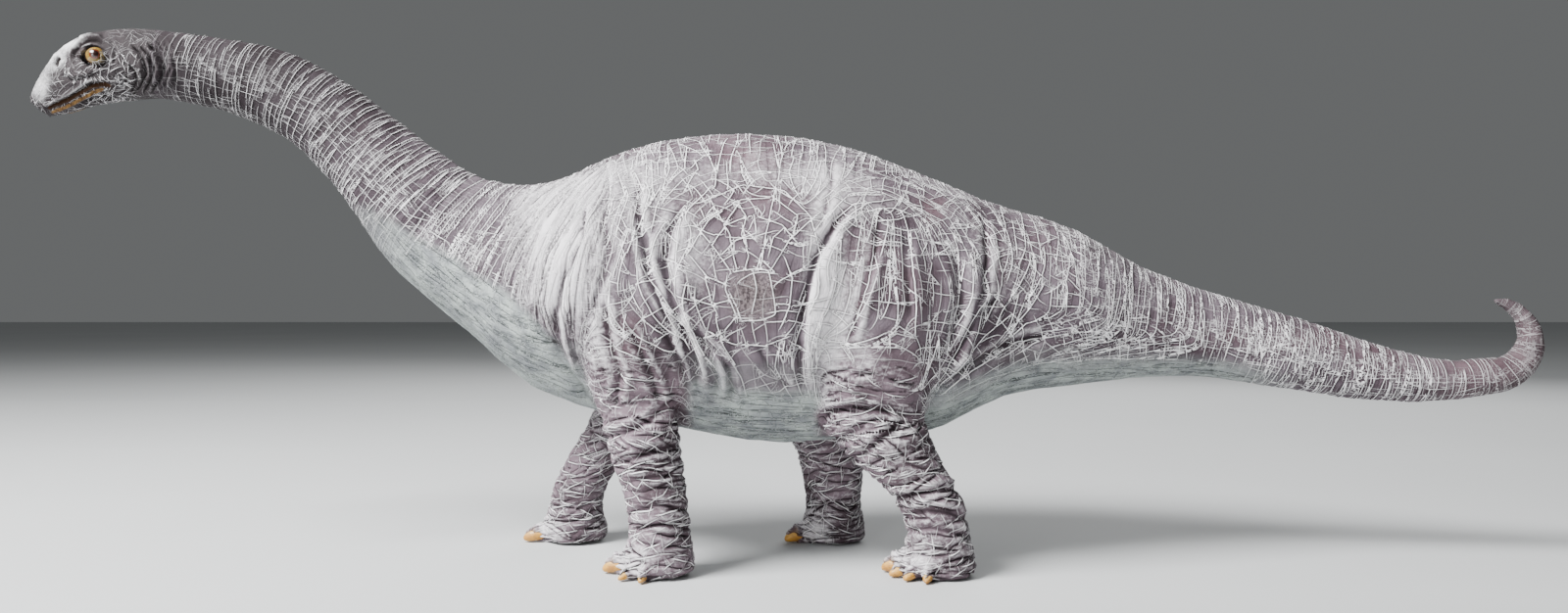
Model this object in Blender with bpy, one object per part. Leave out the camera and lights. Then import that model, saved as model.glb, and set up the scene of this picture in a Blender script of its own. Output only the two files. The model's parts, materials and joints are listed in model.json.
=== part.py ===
"""Long-necked dinosaur figure on four legs: a hollow torso in two glued shells that clamp the plugs of the
neck, the tail and the legs. It faces -X and stands on Z = 0, with its own left side towards -Y."""

import math

import bmesh
import bpy
import numpy as np
from mathutils import Vector
from mathutils.bvhtree import BVHTree

# Whole figure, in metres
HEAD_LENGTH = 0.0392
NECK_REACH = 0.0923
TORSO_LENGTH = 0.2136
TAIL_REACH = 0.1549
BELLY_HEIGHT = 0.039
NECK_SWING = 0.013
TAIL_SWING = 0.009

# Torso shells
TORSO_DEPTH = 0.1042
TORSO_WIDTH = 0.088
WALL = 0.003
CLEARANCE = 0.0003
OVERRUN = 0.02

# Skin folds over the flanks, and the furrows between them
FOLD_WIDTH = 0.0070
FOLD_RISE = 0.0014
FOLD_ROOT = 0.0007
FURROW_WIDTH = 0.0052
FURROW_DEPTH = 0.0012
FURROW_LIFT = 0.0007

# Neck, and the section where it meets the torso
NECK_ROOT_RISE = 0.074
NECK_ROOT_DEPTH = 0.0434
NECK_ROOT_WIDTH = 0.038
NECK_ROOT_LEAN = 43.8
NECK_RISE = 0.053
NECK_TOP_DEPTH = 0.023
NECK_TOP_WIDTH = 0.0195
PLUG_LENGTH = 0.008

# Head
HEAD_DEPTH = 0.0235
HEAD_WIDTH = 0.0185
HEAD_PLUG_LENGTH = 0.005
HEAD_PLUG_WALL = 0.0035
MOUTH_LENGTH = 0.0235
MOUTH_SLOT = 0.0006
MOUTH_SLANT = 21.0
MOUTH_DROP = 0.0088
NOSTRIL_RADIUS = 0.0012
EYE_RADIUS = 0.0031
EYE_PROUD = 0.0009

# Tail, and the section where it meets the torso
TAIL_ROOT_RISE = 0.0452
TAIL_ROOT_DEPTH = 0.0532
TAIL_ROOT_WIDTH = 0.045
TAIL_ROOT_LEAN = 4.3
TAIL_DROP = 0.0241
CURL_RADIUS = 0.0125
CURL_TURN = 175.0
CURL_START_DEPTH = 0.0126
TAIL_TIP_DEPTH = 0.0024

# Legs
KNEE_RISE = 0.011
KNEE_ROLL = 27.0
FRONT_LEG_DEPTH = 0.0235
HIND_LEG_DEPTH = 0.0235
SHOULDER_RISE = 0.067
HIP_RISE = 0.075
LEG_PLUG_RISE = 0.004
LEG_PLUG_ROOT = 0.007
CLAW_LENGTH = 0.0105
CLAW_WIDTH = 0.0058
CLAW_HEIGHT = 0.0060
CLAW_LIFT = 0.0002

# Alignment pins of the torso shells
BOSS_RADIUS = 0.0032
BOSS_LENGTH = 0.008
BOSS_SETBACK = 0.0004
PIN_RADIUS = 0.0015
PIN_LENGTH = 0.004

# Stiffening wires
WIRE_RADIUS = 0.00125
WIRE_STICK_OUT = 0.003
WIRE_WELD = 0.00003

# Counts
BODY_SIDES = 28
FOLD_SIDES = 8
FOLD_STEPS = 8
LEG_SIDES = 20
PIN_SIDES = 12
CLAW_SEGMENTS = 8
CLAW_RINGS = 5
EYE_SEGMENTS = 16
EYE_RINGS = 10
WIRE_POINTS = 9
HEAD_STEPS = 11
NECK_STEPS = 11
TORSO_STEPS = 20
CAVITY_STEPS = 9
TAIL_STEPS = 13
CURL_STEPS = 11
LEG_STEPS = 10
MASS_STEPS = 8
PLUG_STEPS = 1
WIRE_BEVEL_STEPS = 2

# Sections of the body: place along the piece, height, half depth and half width, then lean in degrees
HEAD_SHARES = (
    (0.000, -0.575, 0.060, 0.05, -19.0),
    (0.034, -0.594, 0.153, 0.13, -19.0),
    (0.141, -0.453, 0.315, 0.26, -17.7),
    (0.298, -0.232, 0.447, 0.37, -14.4),
    (0.529, -0.077, 0.496, 0.47, -12.1),
    (0.825, 0.000, 0.500, 0.51, -4.9),
)
NECK_SHARES = (
    (0.102, 0.980, 0.263, 0.258, 6.5),
    (0.337, 0.894, 0.297, 0.282, 22.6),
    (0.554, 0.709, 0.311, 0.303, 37.0),
    (0.731, 0.442, 0.353, 0.350, 48.4),
    (0.905, 0.135, 0.440, 0.440, 49.1),
)
TORSO_SHARES = (
    (0.092, 0.602, 0.261, 0.284, 23.5),
    (0.143, 0.551, 0.312, 0.352, 15.0),
    (0.191, 0.523, 0.363, 0.395, 10.0),
    (0.245, 0.517, 0.403, 0.430, 4.6),
    (0.366, 0.520, 0.468, 0.480, 1.0),
    (0.514, 0.500, 0.500, 0.500, 0.0),
    (0.656, 0.486, 0.467, 0.480, 0.0),
    (0.783, 0.448, 0.406, 0.415, 0.0),
    (0.834, 0.448, 0.355, 0.365, 1.0),
    (0.885, 0.453, 0.312, 0.320, 3.0),
)
TAIL_SHARES = (
    (0.083, -0.120, 0.415, 0.411, 6.5),
    (0.166, -0.237, 0.338, 0.333, 8.9),
    (0.251, -0.322, 0.286, 0.289, 10.9),
    (0.338, -0.425, 0.252, 0.258, 13.6),
    (0.523, -0.701, 0.216, 0.220, 15.1),
    (0.620, -0.842, 0.184, 0.191, 12.6),
    (0.714, -0.946, 0.153, 0.162, 5.6),
    (0.806, -1.000, 0.130, 0.140, 0.0),
)
CURL_LIFT_SHARE = 1.15
CURL_TAPER = 0.85
EGG_SHARE = 0.07
CREASE_ANGLE = 40.0

# Lower leg from the sole up: height, way from foot to knee, half depth and half width as shares
FRONT_LEG_SHARES = (
    (0.00, 0.00, 0.44, 0.43),
    (0.04, 0.00, 0.52, 0.50),
    (0.12, 0.00, 0.50, 0.49),
    (0.24, 0.00, 0.44, 0.45),
    (0.36, 0.05, 0.43, 0.44),
    (0.55, 0.28, 0.46, 0.47),
    (0.78, 0.70, 0.51, 0.50),
    (1.00, 1.00, 0.54, 0.51),
)
HIND_LEG_SHARES = (
    (0.00, 0.00, 0.44, 0.43),
    (0.04, 0.00, 0.52, 0.50),
    (0.15, 0.00, 0.49, 0.48),
    (0.29, 0.02, 0.44, 0.45),
    (0.40, 0.08, 0.46, 0.47),
    (0.56, 0.30, 0.52, 0.51),
    (0.76, 0.67, 0.63, 0.56),
    (1.00, 1.00, 0.74, 0.60),
)
# Upper leg from the knee up: height, way from knee to shoulder, half depth and half width as shares
SHOULDER_SHARES = (
    (0.00, 0.00, 0.54, 0.51),
    (0.13, 0.10, 0.66, 0.58),
    (0.32, 0.35, 0.80, 0.70),
    (0.54, 0.65, 0.86, 0.77),
    (0.77, 0.90, 0.72, 0.64),
    (0.95, 1.00, 0.45, 0.40),
)
HIP_SHARES = (
    (0.00, 0.00, 0.74, 0.60),
    (0.12, 0.10, 0.85, 0.70),
    (0.30, 0.35, 0.93, 0.81),
    (0.50, 0.60, 0.95, 0.83),
    (0.72, 0.85, 0.82, 0.70),
    (0.93, 1.00, 0.48, 0.42),
)
# Width of a leg and how far it is tucked in, as shares of the torso's width
LEG_WIDTH_SHARE = 0.256
LEG_TUCK_SHARE = 0.0625
# Place of each pair of legs along the torso
SHOULDER_PLACE_SHARE = 0.322
HIP_PLACE_SHARE = 0.680
# Each leg: side, and how far its knee and its foot swing back, as shares of the knee's height
LEG_SWING_SHARES = {
    "front_left_leg": (-1, 0.030, 0.155),
    "front_right_leg": (1, -0.170, -0.570),
    "hind_left_leg": (-1, -0.040, 0.400),
    "hind_right_leg": (1, -0.260, -0.220),
}
# Routes over each flank, from the top down: place along the torso and height above the belly
FOLD_ROUTE_SHARES = (
    ((0.260, 0.739), (0.257, 0.624), (0.246, 0.509), (0.229, 0.393)),
    ((0.318, 0.749), (0.321, 0.643), (0.318, 0.547), (0.304, 0.451), (0.293, 0.355)),
    ((0.346, 0.662), (0.342, 0.557), (0.351, 0.451), (0.370, 0.345), (0.386, 0.250)),
    ((0.412, 0.643), (0.402, 0.547), (0.409, 0.451), (0.428, 0.355)),
    ((0.431, 0.374), (0.452, 0.288), (0.458, 0.202)),
    ((0.644, 0.681), (0.618, 0.595), (0.602, 0.489), (0.592, 0.365), (0.592, 0.250)),
    ((0.681, 0.643), (0.672, 0.528), (0.653, 0.413), (0.630, 0.307)),
    ((0.726, 0.662), (0.733, 0.537), (0.735, 0.413), (0.723, 0.298)),
    ((0.819, 0.624), (0.826, 0.489), (0.815, 0.355), (0.794, 0.240)),
)
# The deepest furrows, in the same way
FURROW_ROUTE_SHARES = (
    ((0.294, 0.777), (0.287, 0.681), (0.294, 0.585), (0.279, 0.489), (0.263, 0.393)),
    ((0.403, 0.752), (0.381, 0.662), (0.372, 0.566), (0.381, 0.461), (0.399, 0.355), (0.414, 0.240)),
    ((0.644, 0.749), (0.613, 0.681), (0.588, 0.585), (0.573, 0.480), (0.563, 0.355), (0.564, 0.240)),
    ((0.789, 0.624), (0.798, 0.480), (0.784, 0.336), (0.763, 0.221)),
)
FOLD_END_SHARE = 0.45
LEG_PLUG_SHARE = 0.50
UPPER_LEAN_SHARE = 0.45
# Claws: angle outwards from straight ahead in degrees, and size as a share of the biggest
FRONT_CLAW_SHARES = ((-8.0, 1.0), (42.0, 0.62), (72.0, 0.55))
HIND_CLAW_SHARES = ((-14.0, 1.0), (16.0, 0.80), (42.0, 0.74), (68.0, 0.66))
CLAW_REACH_SHARE = 0.20
CLAW_DIP = 8.0

# Places on the head and of the pins, as shares and angles from the top
EYE_PLACE_SHARE = 0.575
EYE_ANGLE = 73.0
NOSTRIL_PLACE_SHARE = 0.30
NOSTRIL_ANGLE = 56.0
MOUTH_CORNER_SHARE = 0.72
PIN_PLACE_SHARES = (0.34, 0.72)
BOSS_SINK_SHARE = 0.55
NECK_WIRE_START_SHARE = 0.14
TAIL_WIRE_END_SHARE = 0.62

# Finishes: colour, roughness and metallic
PAINTED_SKIN = ((0.270, 0.240, 0.262, 1.0), 0.62, 0.0)
PAINTED_LEG = ((0.262, 0.218, 0.240, 1.0), 0.60, 0.0)
GLOSSY_AMBER = ((0.420, 0.210, 0.040, 1.0), 0.12, 0.0)
PLAIN_STEEL = ((0.560, 0.570, 0.580, 1.0), 0.35, 1.0)

# Derived places
FIGURE_LENGTH = HEAD_LENGTH + NECK_REACH + TORSO_LENGTH + TAIL_REACH
SNOUT_X = -FIGURE_LENGTH / 2
HEAD_ROOT_X = SNOUT_X + HEAD_LENGTH
NECK_ROOT_X = HEAD_ROOT_X + NECK_REACH
TAIL_ROOT_X = NECK_ROOT_X + TORSO_LENGTH
NECK_ROOT_Z = BELLY_HEIGHT + NECK_ROOT_RISE
HEAD_ROOT_Z = NECK_ROOT_Z + NECK_RISE
TAIL_ROOT_Z = BELLY_HEIGHT + TAIL_ROOT_RISE
KNEE_HEIGHT = BELLY_HEIGHT + KNEE_RISE


def clear_scene():
    for obj in list(bpy.data.objects):
        bpy.data.objects.remove(obj, do_unlink=True)


def new_collection(name):
    collection = bpy.data.collections.new(name)
    bpy.context.scene.collection.children.link(collection)
    return collection


def plain_material(name, colour, roughness, metallic):
    material = bpy.data.materials.new(name)
    material.use_nodes = True
    shader = material.node_tree.nodes["Principled BSDF"]
    shader.inputs["Base Color"].default_value = colour
    shader.inputs["Roughness"].default_value = roughness
    shader.inputs["Metallic"].default_value = metallic
    return material


def curve_through(stops, rows, at):
    """Rows read off a smooth curve through all the given rows, at any distance."""
    steps = np.diff(stops)[:, None]
    pitch = np.diff(rows, axis=0) / steps
    inner = (pitch[:-1] * steps[1:] + pitch[1:] * steps[:-1]) / (steps[1:] + steps[:-1])
    slopes = np.vstack([pitch[:1], inner, pitch[-1:]])
    at = np.atleast_1d(at)
    i = np.clip(np.searchsorted(stops, at) - 1, 0, len(stops) - 2)
    width = (stops[i + 1] - stops[i])[:, None]
    t = ((at - stops[i]) / width[:, 0])[:, None]
    start = (2 * t**3 - 3 * t**2 + 1) * rows[i] + (t**3 - 2 * t**2 + t) * width * slopes[i]
    end = (3 * t**2 - 2 * t**3) * rows[i + 1] + (t**3 - t**2) * width * slopes[i + 1]
    return start + end


def piece_rows(shares, start, size, height, depth, width):
    """Section rows (x, z, half depth, half width, lean) from shares of one piece's own sizes."""
    base, rise = height
    return [
        (start + a * size, base + h * rise, d * depth, w * width, lean)
        for a, h, d, w, lean in shares
    ]


def curl_rows():
    """The tail's upturned end: an arc whose section tapers to the tip."""
    turns = np.linspace(0.0, 1.0, CURL_STEPS + 1)
    half_depth = TAIL_TIP_DEPTH / 2 + (CURL_START_DEPTH - TAIL_TIP_DEPTH) / 2 * (1 - turns) ** CURL_TAPER
    reach = CURL_RADIUS + np.interp(0.5, turns, half_depth)
    centre_x = TAIL_ROOT_X + TAIL_REACH - reach
    centre_z = TAIL_ROOT_Z - TAIL_DROP + CURL_LIFT_SHARE * CURL_RADIUS
    rows = []
    for turn, half in zip(turns, half_depth):
        angle = math.radians(CURL_TURN * turn)
        x = centre_x + CURL_RADIUS * math.sin(angle)
        z = centre_z - CURL_RADIUS * math.cos(angle)
        rows.append((x, z, half, half, -CURL_TURN * turn))
    return rows


def body_rows():
    """All sections from snout to tail tip, and where among them neck, torso, tail and curl begin."""
    head = piece_rows(HEAD_SHARES, SNOUT_X, HEAD_LENGTH, (HEAD_ROOT_Z, HEAD_DEPTH), HEAD_DEPTH, HEAD_WIDTH)
    head_root = (HEAD_ROOT_X, HEAD_ROOT_Z, NECK_TOP_DEPTH / 2, NECK_TOP_WIDTH / 2, 0.0)
    neck = piece_rows(
        NECK_SHARES, HEAD_ROOT_X, NECK_REACH, (NECK_ROOT_Z, NECK_RISE), NECK_ROOT_DEPTH, NECK_ROOT_WIDTH
    )
    neck_root = (NECK_ROOT_X, NECK_ROOT_Z, NECK_ROOT_DEPTH / 2, NECK_ROOT_WIDTH / 2, NECK_ROOT_LEAN)
    torso = piece_rows(
        TORSO_SHARES, NECK_ROOT_X, TORSO_LENGTH, (BELLY_HEIGHT, TORSO_DEPTH), TORSO_DEPTH, TORSO_WIDTH
    )
    tail_root = (TAIL_ROOT_X, TAIL_ROOT_Z, TAIL_ROOT_DEPTH / 2, TAIL_ROOT_WIDTH / 2, TAIL_ROOT_LEAN)
    tail = piece_rows(
        TAIL_SHARES, TAIL_ROOT_X, TAIL_REACH, (TAIL_ROOT_Z, TAIL_DROP), TAIL_ROOT_DEPTH, TAIL_ROOT_WIDTH
    )
    rows = head + [head_root] + neck + [neck_root] + torso + [tail_root] + tail + curl_rows()
    head_meet = len(head)
    neck_meet = head_meet + len(neck) + 1
    tail_meet = neck_meet + len(torso) + 1
    return np.array(rows), (head_meet, neck_meet, tail_meet, tail_meet + len(tail) + 1)


ROWS, (HEAD_MEET, NECK_MEET, TAIL_MEET, CURL_MEET) = body_rows()
STOPS = np.concatenate([[0.0], np.cumsum(np.hypot(*np.diff(ROWS[:, :2], axis=0).T))])
HEAD_STOP = STOPS[HEAD_MEET]
NECK_STOP = STOPS[NECK_MEET]
TAIL_STOP = STOPS[TAIL_MEET]
CURL_STOP = STOPS[CURL_MEET]
TIP_STOP = STOPS[-1]


def swing_at(x):
    """Sideways place and slope of the middle line: neck and tail swing to the left of a straight torso."""
    ahead = max(0.0, (NECK_ROOT_X - x) / (NECK_ROOT_X - SNOUT_X))
    behind = max(0.0, (x - TAIL_ROOT_X) / TAIL_REACH)
    y = -NECK_SWING * ahead**2 - TAIL_SWING * behind**2
    slope = 2 * NECK_SWING * ahead / (NECK_ROOT_X - SNOUT_X) - 2 * TAIL_SWING * behind / TAIL_REACH
    return y, slope


def body_section(stop):
    """Centre, up and side directions, half depth and half width of the body's section at a distance."""
    x, z, half_depth, half_width, lean = curve_through(STOPS, ROWS, stop)[0]
    y, slope = swing_at(x)
    along = np.array([1.0, slope, 0.0]) / math.hypot(1.0, slope)
    side = np.array([-along[1], along[0], 0.0])
    tilt = math.radians(lean)
    up = math.sin(tilt) * along + np.array([0.0, 0.0, math.cos(tilt)])
    return np.array([x, y, z]), up, side, half_depth, half_width


def body_point(stop, angle, inset=0.0):
    """A point on the body's skin, at an angle in degrees from the top towards +Y."""
    centre, up, side, half_depth, half_width = body_section(stop)
    turn = math.radians(angle)
    egg = 1 - EGG_SHARE * math.cos(turn)
    rise = (half_depth - inset) * math.cos(turn)
    reach = (half_width - inset) * egg * math.sin(turn)
    return centre + up * rise + side * reach


def body_ring(stop, inset=0.0):
    angles = np.arange(BODY_SIDES) * 360.0 / BODY_SIDES
    return [body_point(stop, angle, inset) for angle in angles]


def body_rings(start, end, steps, inset=0.0):
    return [body_ring(stop, inset) for stop in np.linspace(start, end, steps + 1)]


def half_ring(stop, side):
    """One side of the torso's section, closed along the parting plane by its first and last points."""
    angles = side * np.linspace(0.0, 180.0, BODY_SIDES // 2 + 1)
    ring = [body_point(stop, angle) for angle in angles]
    for edge in (ring[0], ring[-1]):
        edge[1] = side * CLEARANCE / 2
    return ring


def cavity_rings():
    """The torso's hollow, with the same sections as both plugs where it holds them."""
    neck_plug_end = NECK_STOP + PLUG_LENGTH
    tail_plug_end = TAIL_STOP - PLUG_LENGTH
    rings = [body_ring(NECK_STOP - PLUG_LENGTH, WALL)]
    rings += body_rings(NECK_STOP, neck_plug_end, PLUG_STEPS, WALL)
    rings += body_rings(neck_plug_end, tail_plug_end, CAVITY_STEPS, WALL)[1:-1]
    rings += body_rings(tail_plug_end, TAIL_STOP, PLUG_STEPS, WALL)
    rings += [body_ring(TAIL_STOP + PLUG_LENGTH, WALL)]
    return rings


def leg_route(name):
    """What places one leg: side, knee and foot places, and the sizes and shares of its girth."""
    side, knee_swing, foot_swing = LEG_SWING_SHARES[name]
    front = name.startswith("front")
    root_x = NECK_ROOT_X + (SHOULDER_PLACE_SHARE if front else HIP_PLACE_SHARE) * TORSO_LENGTH
    width = LEG_WIDTH_SHARE * TORSO_WIDTH
    return {
        "side": side,
        "root_x": root_x,
        "knee_x": root_x + knee_swing * KNEE_HEIGHT,
        "foot_x": root_x + foot_swing * KNEE_HEIGHT,
        "y": side * (TORSO_WIDTH / 2 - LEG_TUCK_SHARE * TORSO_WIDTH - width / 2),
        "depth": FRONT_LEG_DEPTH if front else HIND_LEG_DEPTH,
        "width": width,
        "lower": FRONT_LEG_SHARES if front else HIND_LEG_SHARES,
        "upper": SHOULDER_SHARES if front else HIP_SHARES,
        "rise": SHOULDER_RISE if front else HIP_RISE,
        "claws": FRONT_CLAW_SHARES if front else HIND_CLAW_SHARES,
    }


def leg_ring(leg, x, z, half_depth, half_width, roll, lean_in=0.0):
    """One section of a leg, lying flat at roll 0 and lifted on its outer side by the roll in degrees."""
    tilt = math.radians(roll)
    across = np.array([0.0, math.cos(tilt) * leg["side"], math.sin(tilt)])
    centre = np.array([x, leg["y"] * (1 - lean_in), z])
    turns = np.arange(LEG_SIDES) * 2 * math.pi / LEG_SIDES * -leg["side"]
    fore = np.array([1.0, 0.0, 0.0])
    return [centre + fore * half_depth * math.cos(t) + across * half_width * math.sin(t) for t in turns]


def smooth_shares(shares, steps):
    """A table of shares read off smoothly at even heights, with its first two rows kept for a crisp sole."""
    table = np.array(shares)
    heights = np.append(table[0, 0], np.linspace(table[1, 0], table[-1, 0], steps + 1))
    return curve_through(table[:, 0], table, heights)


def lower_leg_rings(leg):
    rings = []
    for height, way, depth, width in smooth_shares(leg["lower"], LEG_STEPS):
        x = leg["foot_x"] + way * (leg["knee_x"] - leg["foot_x"])
        girth = (depth * leg["depth"], width * leg["width"])
        rings.append(leg_ring(leg, x, height * KNEE_HEIGHT, *girth, KNEE_ROLL * height**2))
    return rings


def upper_leg_rings(leg, lift, inset):
    """The shoulder or thigh mass above the knee, lifted off it and drawn in as asked."""
    rings = []
    for height, way, depth, width in smooth_shares(leg["upper"], MASS_STEPS):
        x = leg["knee_x"] + way * (leg["root_x"] - leg["knee_x"])
        girth = (depth * leg["depth"] - inset, width * leg["width"] - inset)
        z = KNEE_HEIGHT + lift + height * (leg["rise"] - lift - inset)
        rings.append(leg_ring(leg, x, z, *girth, KNEE_ROLL * (1 - height), UPPER_LEAN_SHARE * height**2))
    return rings


def leg_plug_rings(leg, start, end, spread):
    """The keyed oval plug on top of a leg, square to the knee's slanted face."""
    _, _, depth, width = leg["lower"][-1]
    tilt = math.radians(KNEE_ROLL)
    normal_y = -math.sin(tilt) * leg["side"]
    girth = (
        LEG_PLUG_SHARE * depth * leg["depth"] + spread,
        LEG_PLUG_SHARE * width * leg["width"] + spread,
    )
    rings = []
    for rise in (start, end):
        ring = leg_ring(leg, leg["knee_x"], KNEE_HEIGHT, *girth, KNEE_ROLL)
        rings.append([p + np.array([0.0, normal_y, math.cos(tilt)]) * rise for p in ring])
    return rings


def finish(mesh, name, collection, material=None):
    """An object for the mesh, shaded smooth where its faces nearly line up."""
    obj = bpy.data.objects.new(name, mesh)
    collection.objects.link(obj)
    mesh.shade_smooth()
    mesh.set_sharp_from_angle(angle=math.radians(CREASE_ANGLE))
    if material:
        mesh.materials.append(material)
    else:
        obj.hide_render = True
        obj.display_type = "WIRE"
    return obj


def loft(name, rings, collection, material=None):
    """A closed skin through rings of equal count, with a flat face on each end."""
    bm = bmesh.new()
    rows = [[bm.verts.new(point) for point in ring] for ring in rings]
    for low, high in zip(rows, rows[1:]):
        for k in range(len(low)):
            after = (k + 1) % len(low)
            bm.faces.new((low[k], low[after], high[after], high[k]))
    bm.faces.new(rows[0][::-1])
    bm.faces.new(rows[-1])
    bmesh.ops.recalc_face_normals(bm, faces=bm.faces)
    mesh = bpy.data.meshes.new(name)
    bm.to_mesh(mesh)
    bm.free()
    return finish(mesh, name, collection, material)


def ball(name, centre, radii, turn, collection, segments, rings, material=None):
    """An ellipsoid of the given half sizes, turned about Z and dipped at its far end."""
    bm = bmesh.new()
    bmesh.ops.create_uvsphere(bm, u_segments=segments, v_segments=rings, radius=radii[0])
    bmesh.ops.scale(bm, vec=np.divide(radii, radii[0]), verts=bm.verts)
    mesh = bpy.data.meshes.new(name)
    bm.to_mesh(mesh)
    bm.free()
    obj = finish(mesh, name, collection, material)
    obj.rotation_euler = turn
    obj.location = centre
    return obj


def box(name, centre, size, turn, collection):
    bm = bmesh.new()
    bmesh.ops.create_cube(bm, size=size[0])
    bmesh.ops.scale(bm, vec=np.divide(size, size[0]), verts=bm.verts)
    mesh = bpy.data.meshes.new(name)
    bm.to_mesh(mesh)
    bm.free()
    obj = finish(mesh, name, collection)
    obj.rotation_euler = turn
    obj.location = centre
    return obj


def pin(name, centre, radius, length, collection):
    """A round bar along Y."""
    bm = bmesh.new()
    bmesh.ops.create_cone(
        bm, cap_ends=True, segments=PIN_SIDES, radius1=radius, radius2=radius, depth=length
    )
    mesh = bpy.data.meshes.new(name)
    bm.to_mesh(mesh)
    bm.free()
    obj = finish(mesh, name, collection)
    obj.rotation_euler = (math.pi / 2, 0.0, 0.0)
    obj.location = centre
    return obj


def combine(target, tool, operation):
    modifier = target.modifiers.new(f"{operation.lower()} {tool.name}", "BOOLEAN")
    modifier.operation = operation
    modifier.object = tool


def wire(name, stops, radius, collection, material=None):
    """A steel wire, or the bore for it, along the middle of the body."""
    curve = bpy.data.curves.new(name, "CURVE")
    curve.dimensions = "3D"
    curve.bevel_depth = radius
    curve.bevel_resolution = WIRE_BEVEL_STEPS
    curve.use_fill_caps = True
    spline = curve.splines.new("POLY")
    spline.points.add(len(stops) - 1)
    for point, stop in zip(spline.points, stops):
        point.co = (*body_section(stop)[0], 1.0)
    obj = bpy.data.objects.new(name, curve)
    collection.objects.link(obj)
    if material:
        curve.materials.append(material)
        return obj
    return bore_from(obj, name, collection)


def bore_from(curve_object, name, collection):
    """The curve's own tube as a mesh, with its caps joined on, so that it can cut."""
    bpy.context.view_layer.update()
    graph = bpy.context.evaluated_depsgraph_get()
    mesh = bpy.data.meshes.new_from_object(curve_object.evaluated_get(graph))
    bm = bmesh.new()
    bm.from_mesh(mesh)
    bmesh.ops.remove_doubles(bm, verts=bm.verts, dist=WIRE_WELD)
    bm.to_mesh(mesh)
    bm.free()
    place = curve_object.matrix_world.copy()
    bpy.data.objects.remove(curve_object, do_unlink=True)
    cutter = finish(mesh, name, collection)
    cutter.matrix_world = place
    return cutter


def mouth_slot(cutters):
    """The thin slanted slot between the lips, from past the snout to the corner of the mouth."""
    slant = math.radians(MOUTH_SLANT)
    corner = body_section(HEAD_STOP * MOUTH_CORNER_SHARE)[0] - np.array([0.0, 0.0, MOUTH_DROP])
    middle = corner - np.array([math.cos(slant), 0.0, math.sin(slant)]) * (MOUTH_LENGTH + OVERRUN) / 2
    size = (MOUTH_LENGTH + OVERRUN, HEAD_WIDTH + OVERRUN, MOUTH_SLOT)
    return box("mouth_slot_cutter", middle, size, (0.0, -slant, 0.0), cutters)


def make_head(parts, cutters, skin):
    rings = body_rings(0.0, HEAD_STOP, HEAD_STEPS)
    rings += body_rings(HEAD_STOP, HEAD_STOP + HEAD_PLUG_LENGTH, PLUG_STEPS, HEAD_PLUG_WALL + CLEARANCE)
    head = loft("head", rings, parts, skin)
    combine(head, mouth_slot(cutters), "DIFFERENCE")
    for side in (-1, 1):
        hollow = body_point(HEAD_STOP * NOSTRIL_PLACE_SHARE, side * NOSTRIL_ANGLE)
        radii = (NOSTRIL_RADIUS, NOSTRIL_RADIUS, NOSTRIL_RADIUS)
        cutter = ball("nostril_cutter", hollow, radii, (0.0, 0.0, 0.0), cutters, CLAW_SEGMENTS, CLAW_RINGS)
        combine(head, cutter, "DIFFERENCE")
    return head


def make_eyes(parts, cutters, head, material):
    """A glossy bead pressed into each side of the head, standing a little proud."""
    for side, name in ((-1, "left_eye"), (1, "right_eye")):
        centre = body_point(HEAD_STOP * EYE_PLACE_SHARE, side * EYE_ANGLE, EYE_RADIUS - EYE_PROUD)
        bead = (EYE_RADIUS, EYE_RADIUS, EYE_RADIUS)
        ball(name, centre, bead, (0.0, 0.0, 0.0), parts, EYE_SEGMENTS, EYE_RINGS, material)
        room = tuple(radius + CLEARANCE for radius in bead)
        cutter = ball(f"{name}_cutter", centre, room, (0.0, 0.0, 0.0), cutters, EYE_SEGMENTS, EYE_RINGS)
        combine(head, cutter, "DIFFERENCE")


def make_neck(parts, cutters, skin, steel):
    """The neck: a pocket for the head's plug, its skin, and the plug that the torso clamps."""
    start = HEAD_STOP + CLEARANCE
    pocket_end = HEAD_STOP + HEAD_PLUG_LENGTH + CLEARANCE
    rings = body_rings(pocket_end, start, PLUG_STEPS, HEAD_PLUG_WALL)
    rings += body_rings(start, NECK_STOP, NECK_STEPS)
    rings += body_rings(NECK_STOP, NECK_STOP + PLUG_LENGTH, PLUG_STEPS, WALL + CLEARANCE)
    neck = loft("neck", rings, parts, skin)
    wire_start = HEAD_STOP + NECK_WIRE_START_SHARE * (NECK_STOP - HEAD_STOP)
    wire_end = NECK_STOP + PLUG_LENGTH + WIRE_STICK_OUT
    stops = np.linspace(wire_start, wire_end, WIRE_POINTS)
    wire("neck_wire", stops, WIRE_RADIUS, parts, steel)
    bore_stops = np.linspace(wire_start - CLEARANCE, wire_end, WIRE_POINTS)
    combine(neck, wire("neck_bore_cutter", bore_stops, WIRE_RADIUS + CLEARANCE, cutters), "DIFFERENCE")


def make_tail(parts, cutters, skin, steel):
    """The tail, with the plug that the torso clamps and a wire down the middle of its thick part."""
    start = TAIL_STOP + CLEARANCE
    rings = body_rings(TAIL_STOP - PLUG_LENGTH, TAIL_STOP, PLUG_STEPS, WALL + CLEARANCE)
    rings += [body_ring(start, WALL + CLEARANCE)]
    rings += body_rings(start, CURL_STOP, TAIL_STEPS)
    rings += body_rings(CURL_STOP, TIP_STOP, CURL_STEPS)[1:]
    tail = loft("tail", rings, parts, skin)
    wire_start = TAIL_STOP - PLUG_LENGTH - WIRE_STICK_OUT
    wire_end = TAIL_STOP + TAIL_WIRE_END_SHARE * (TIP_STOP - TAIL_STOP)
    stops = np.linspace(wire_start, wire_end, WIRE_POINTS)
    wire("tail_wire", stops, WIRE_RADIUS, parts, steel)
    bore_stops = np.linspace(wire_start, wire_end + CLEARANCE, WIRE_POINTS)
    combine(tail, wire("tail_bore_cutter", bore_stops, WIRE_RADIUS + CLEARANCE, cutters), "DIFFERENCE")


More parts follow.
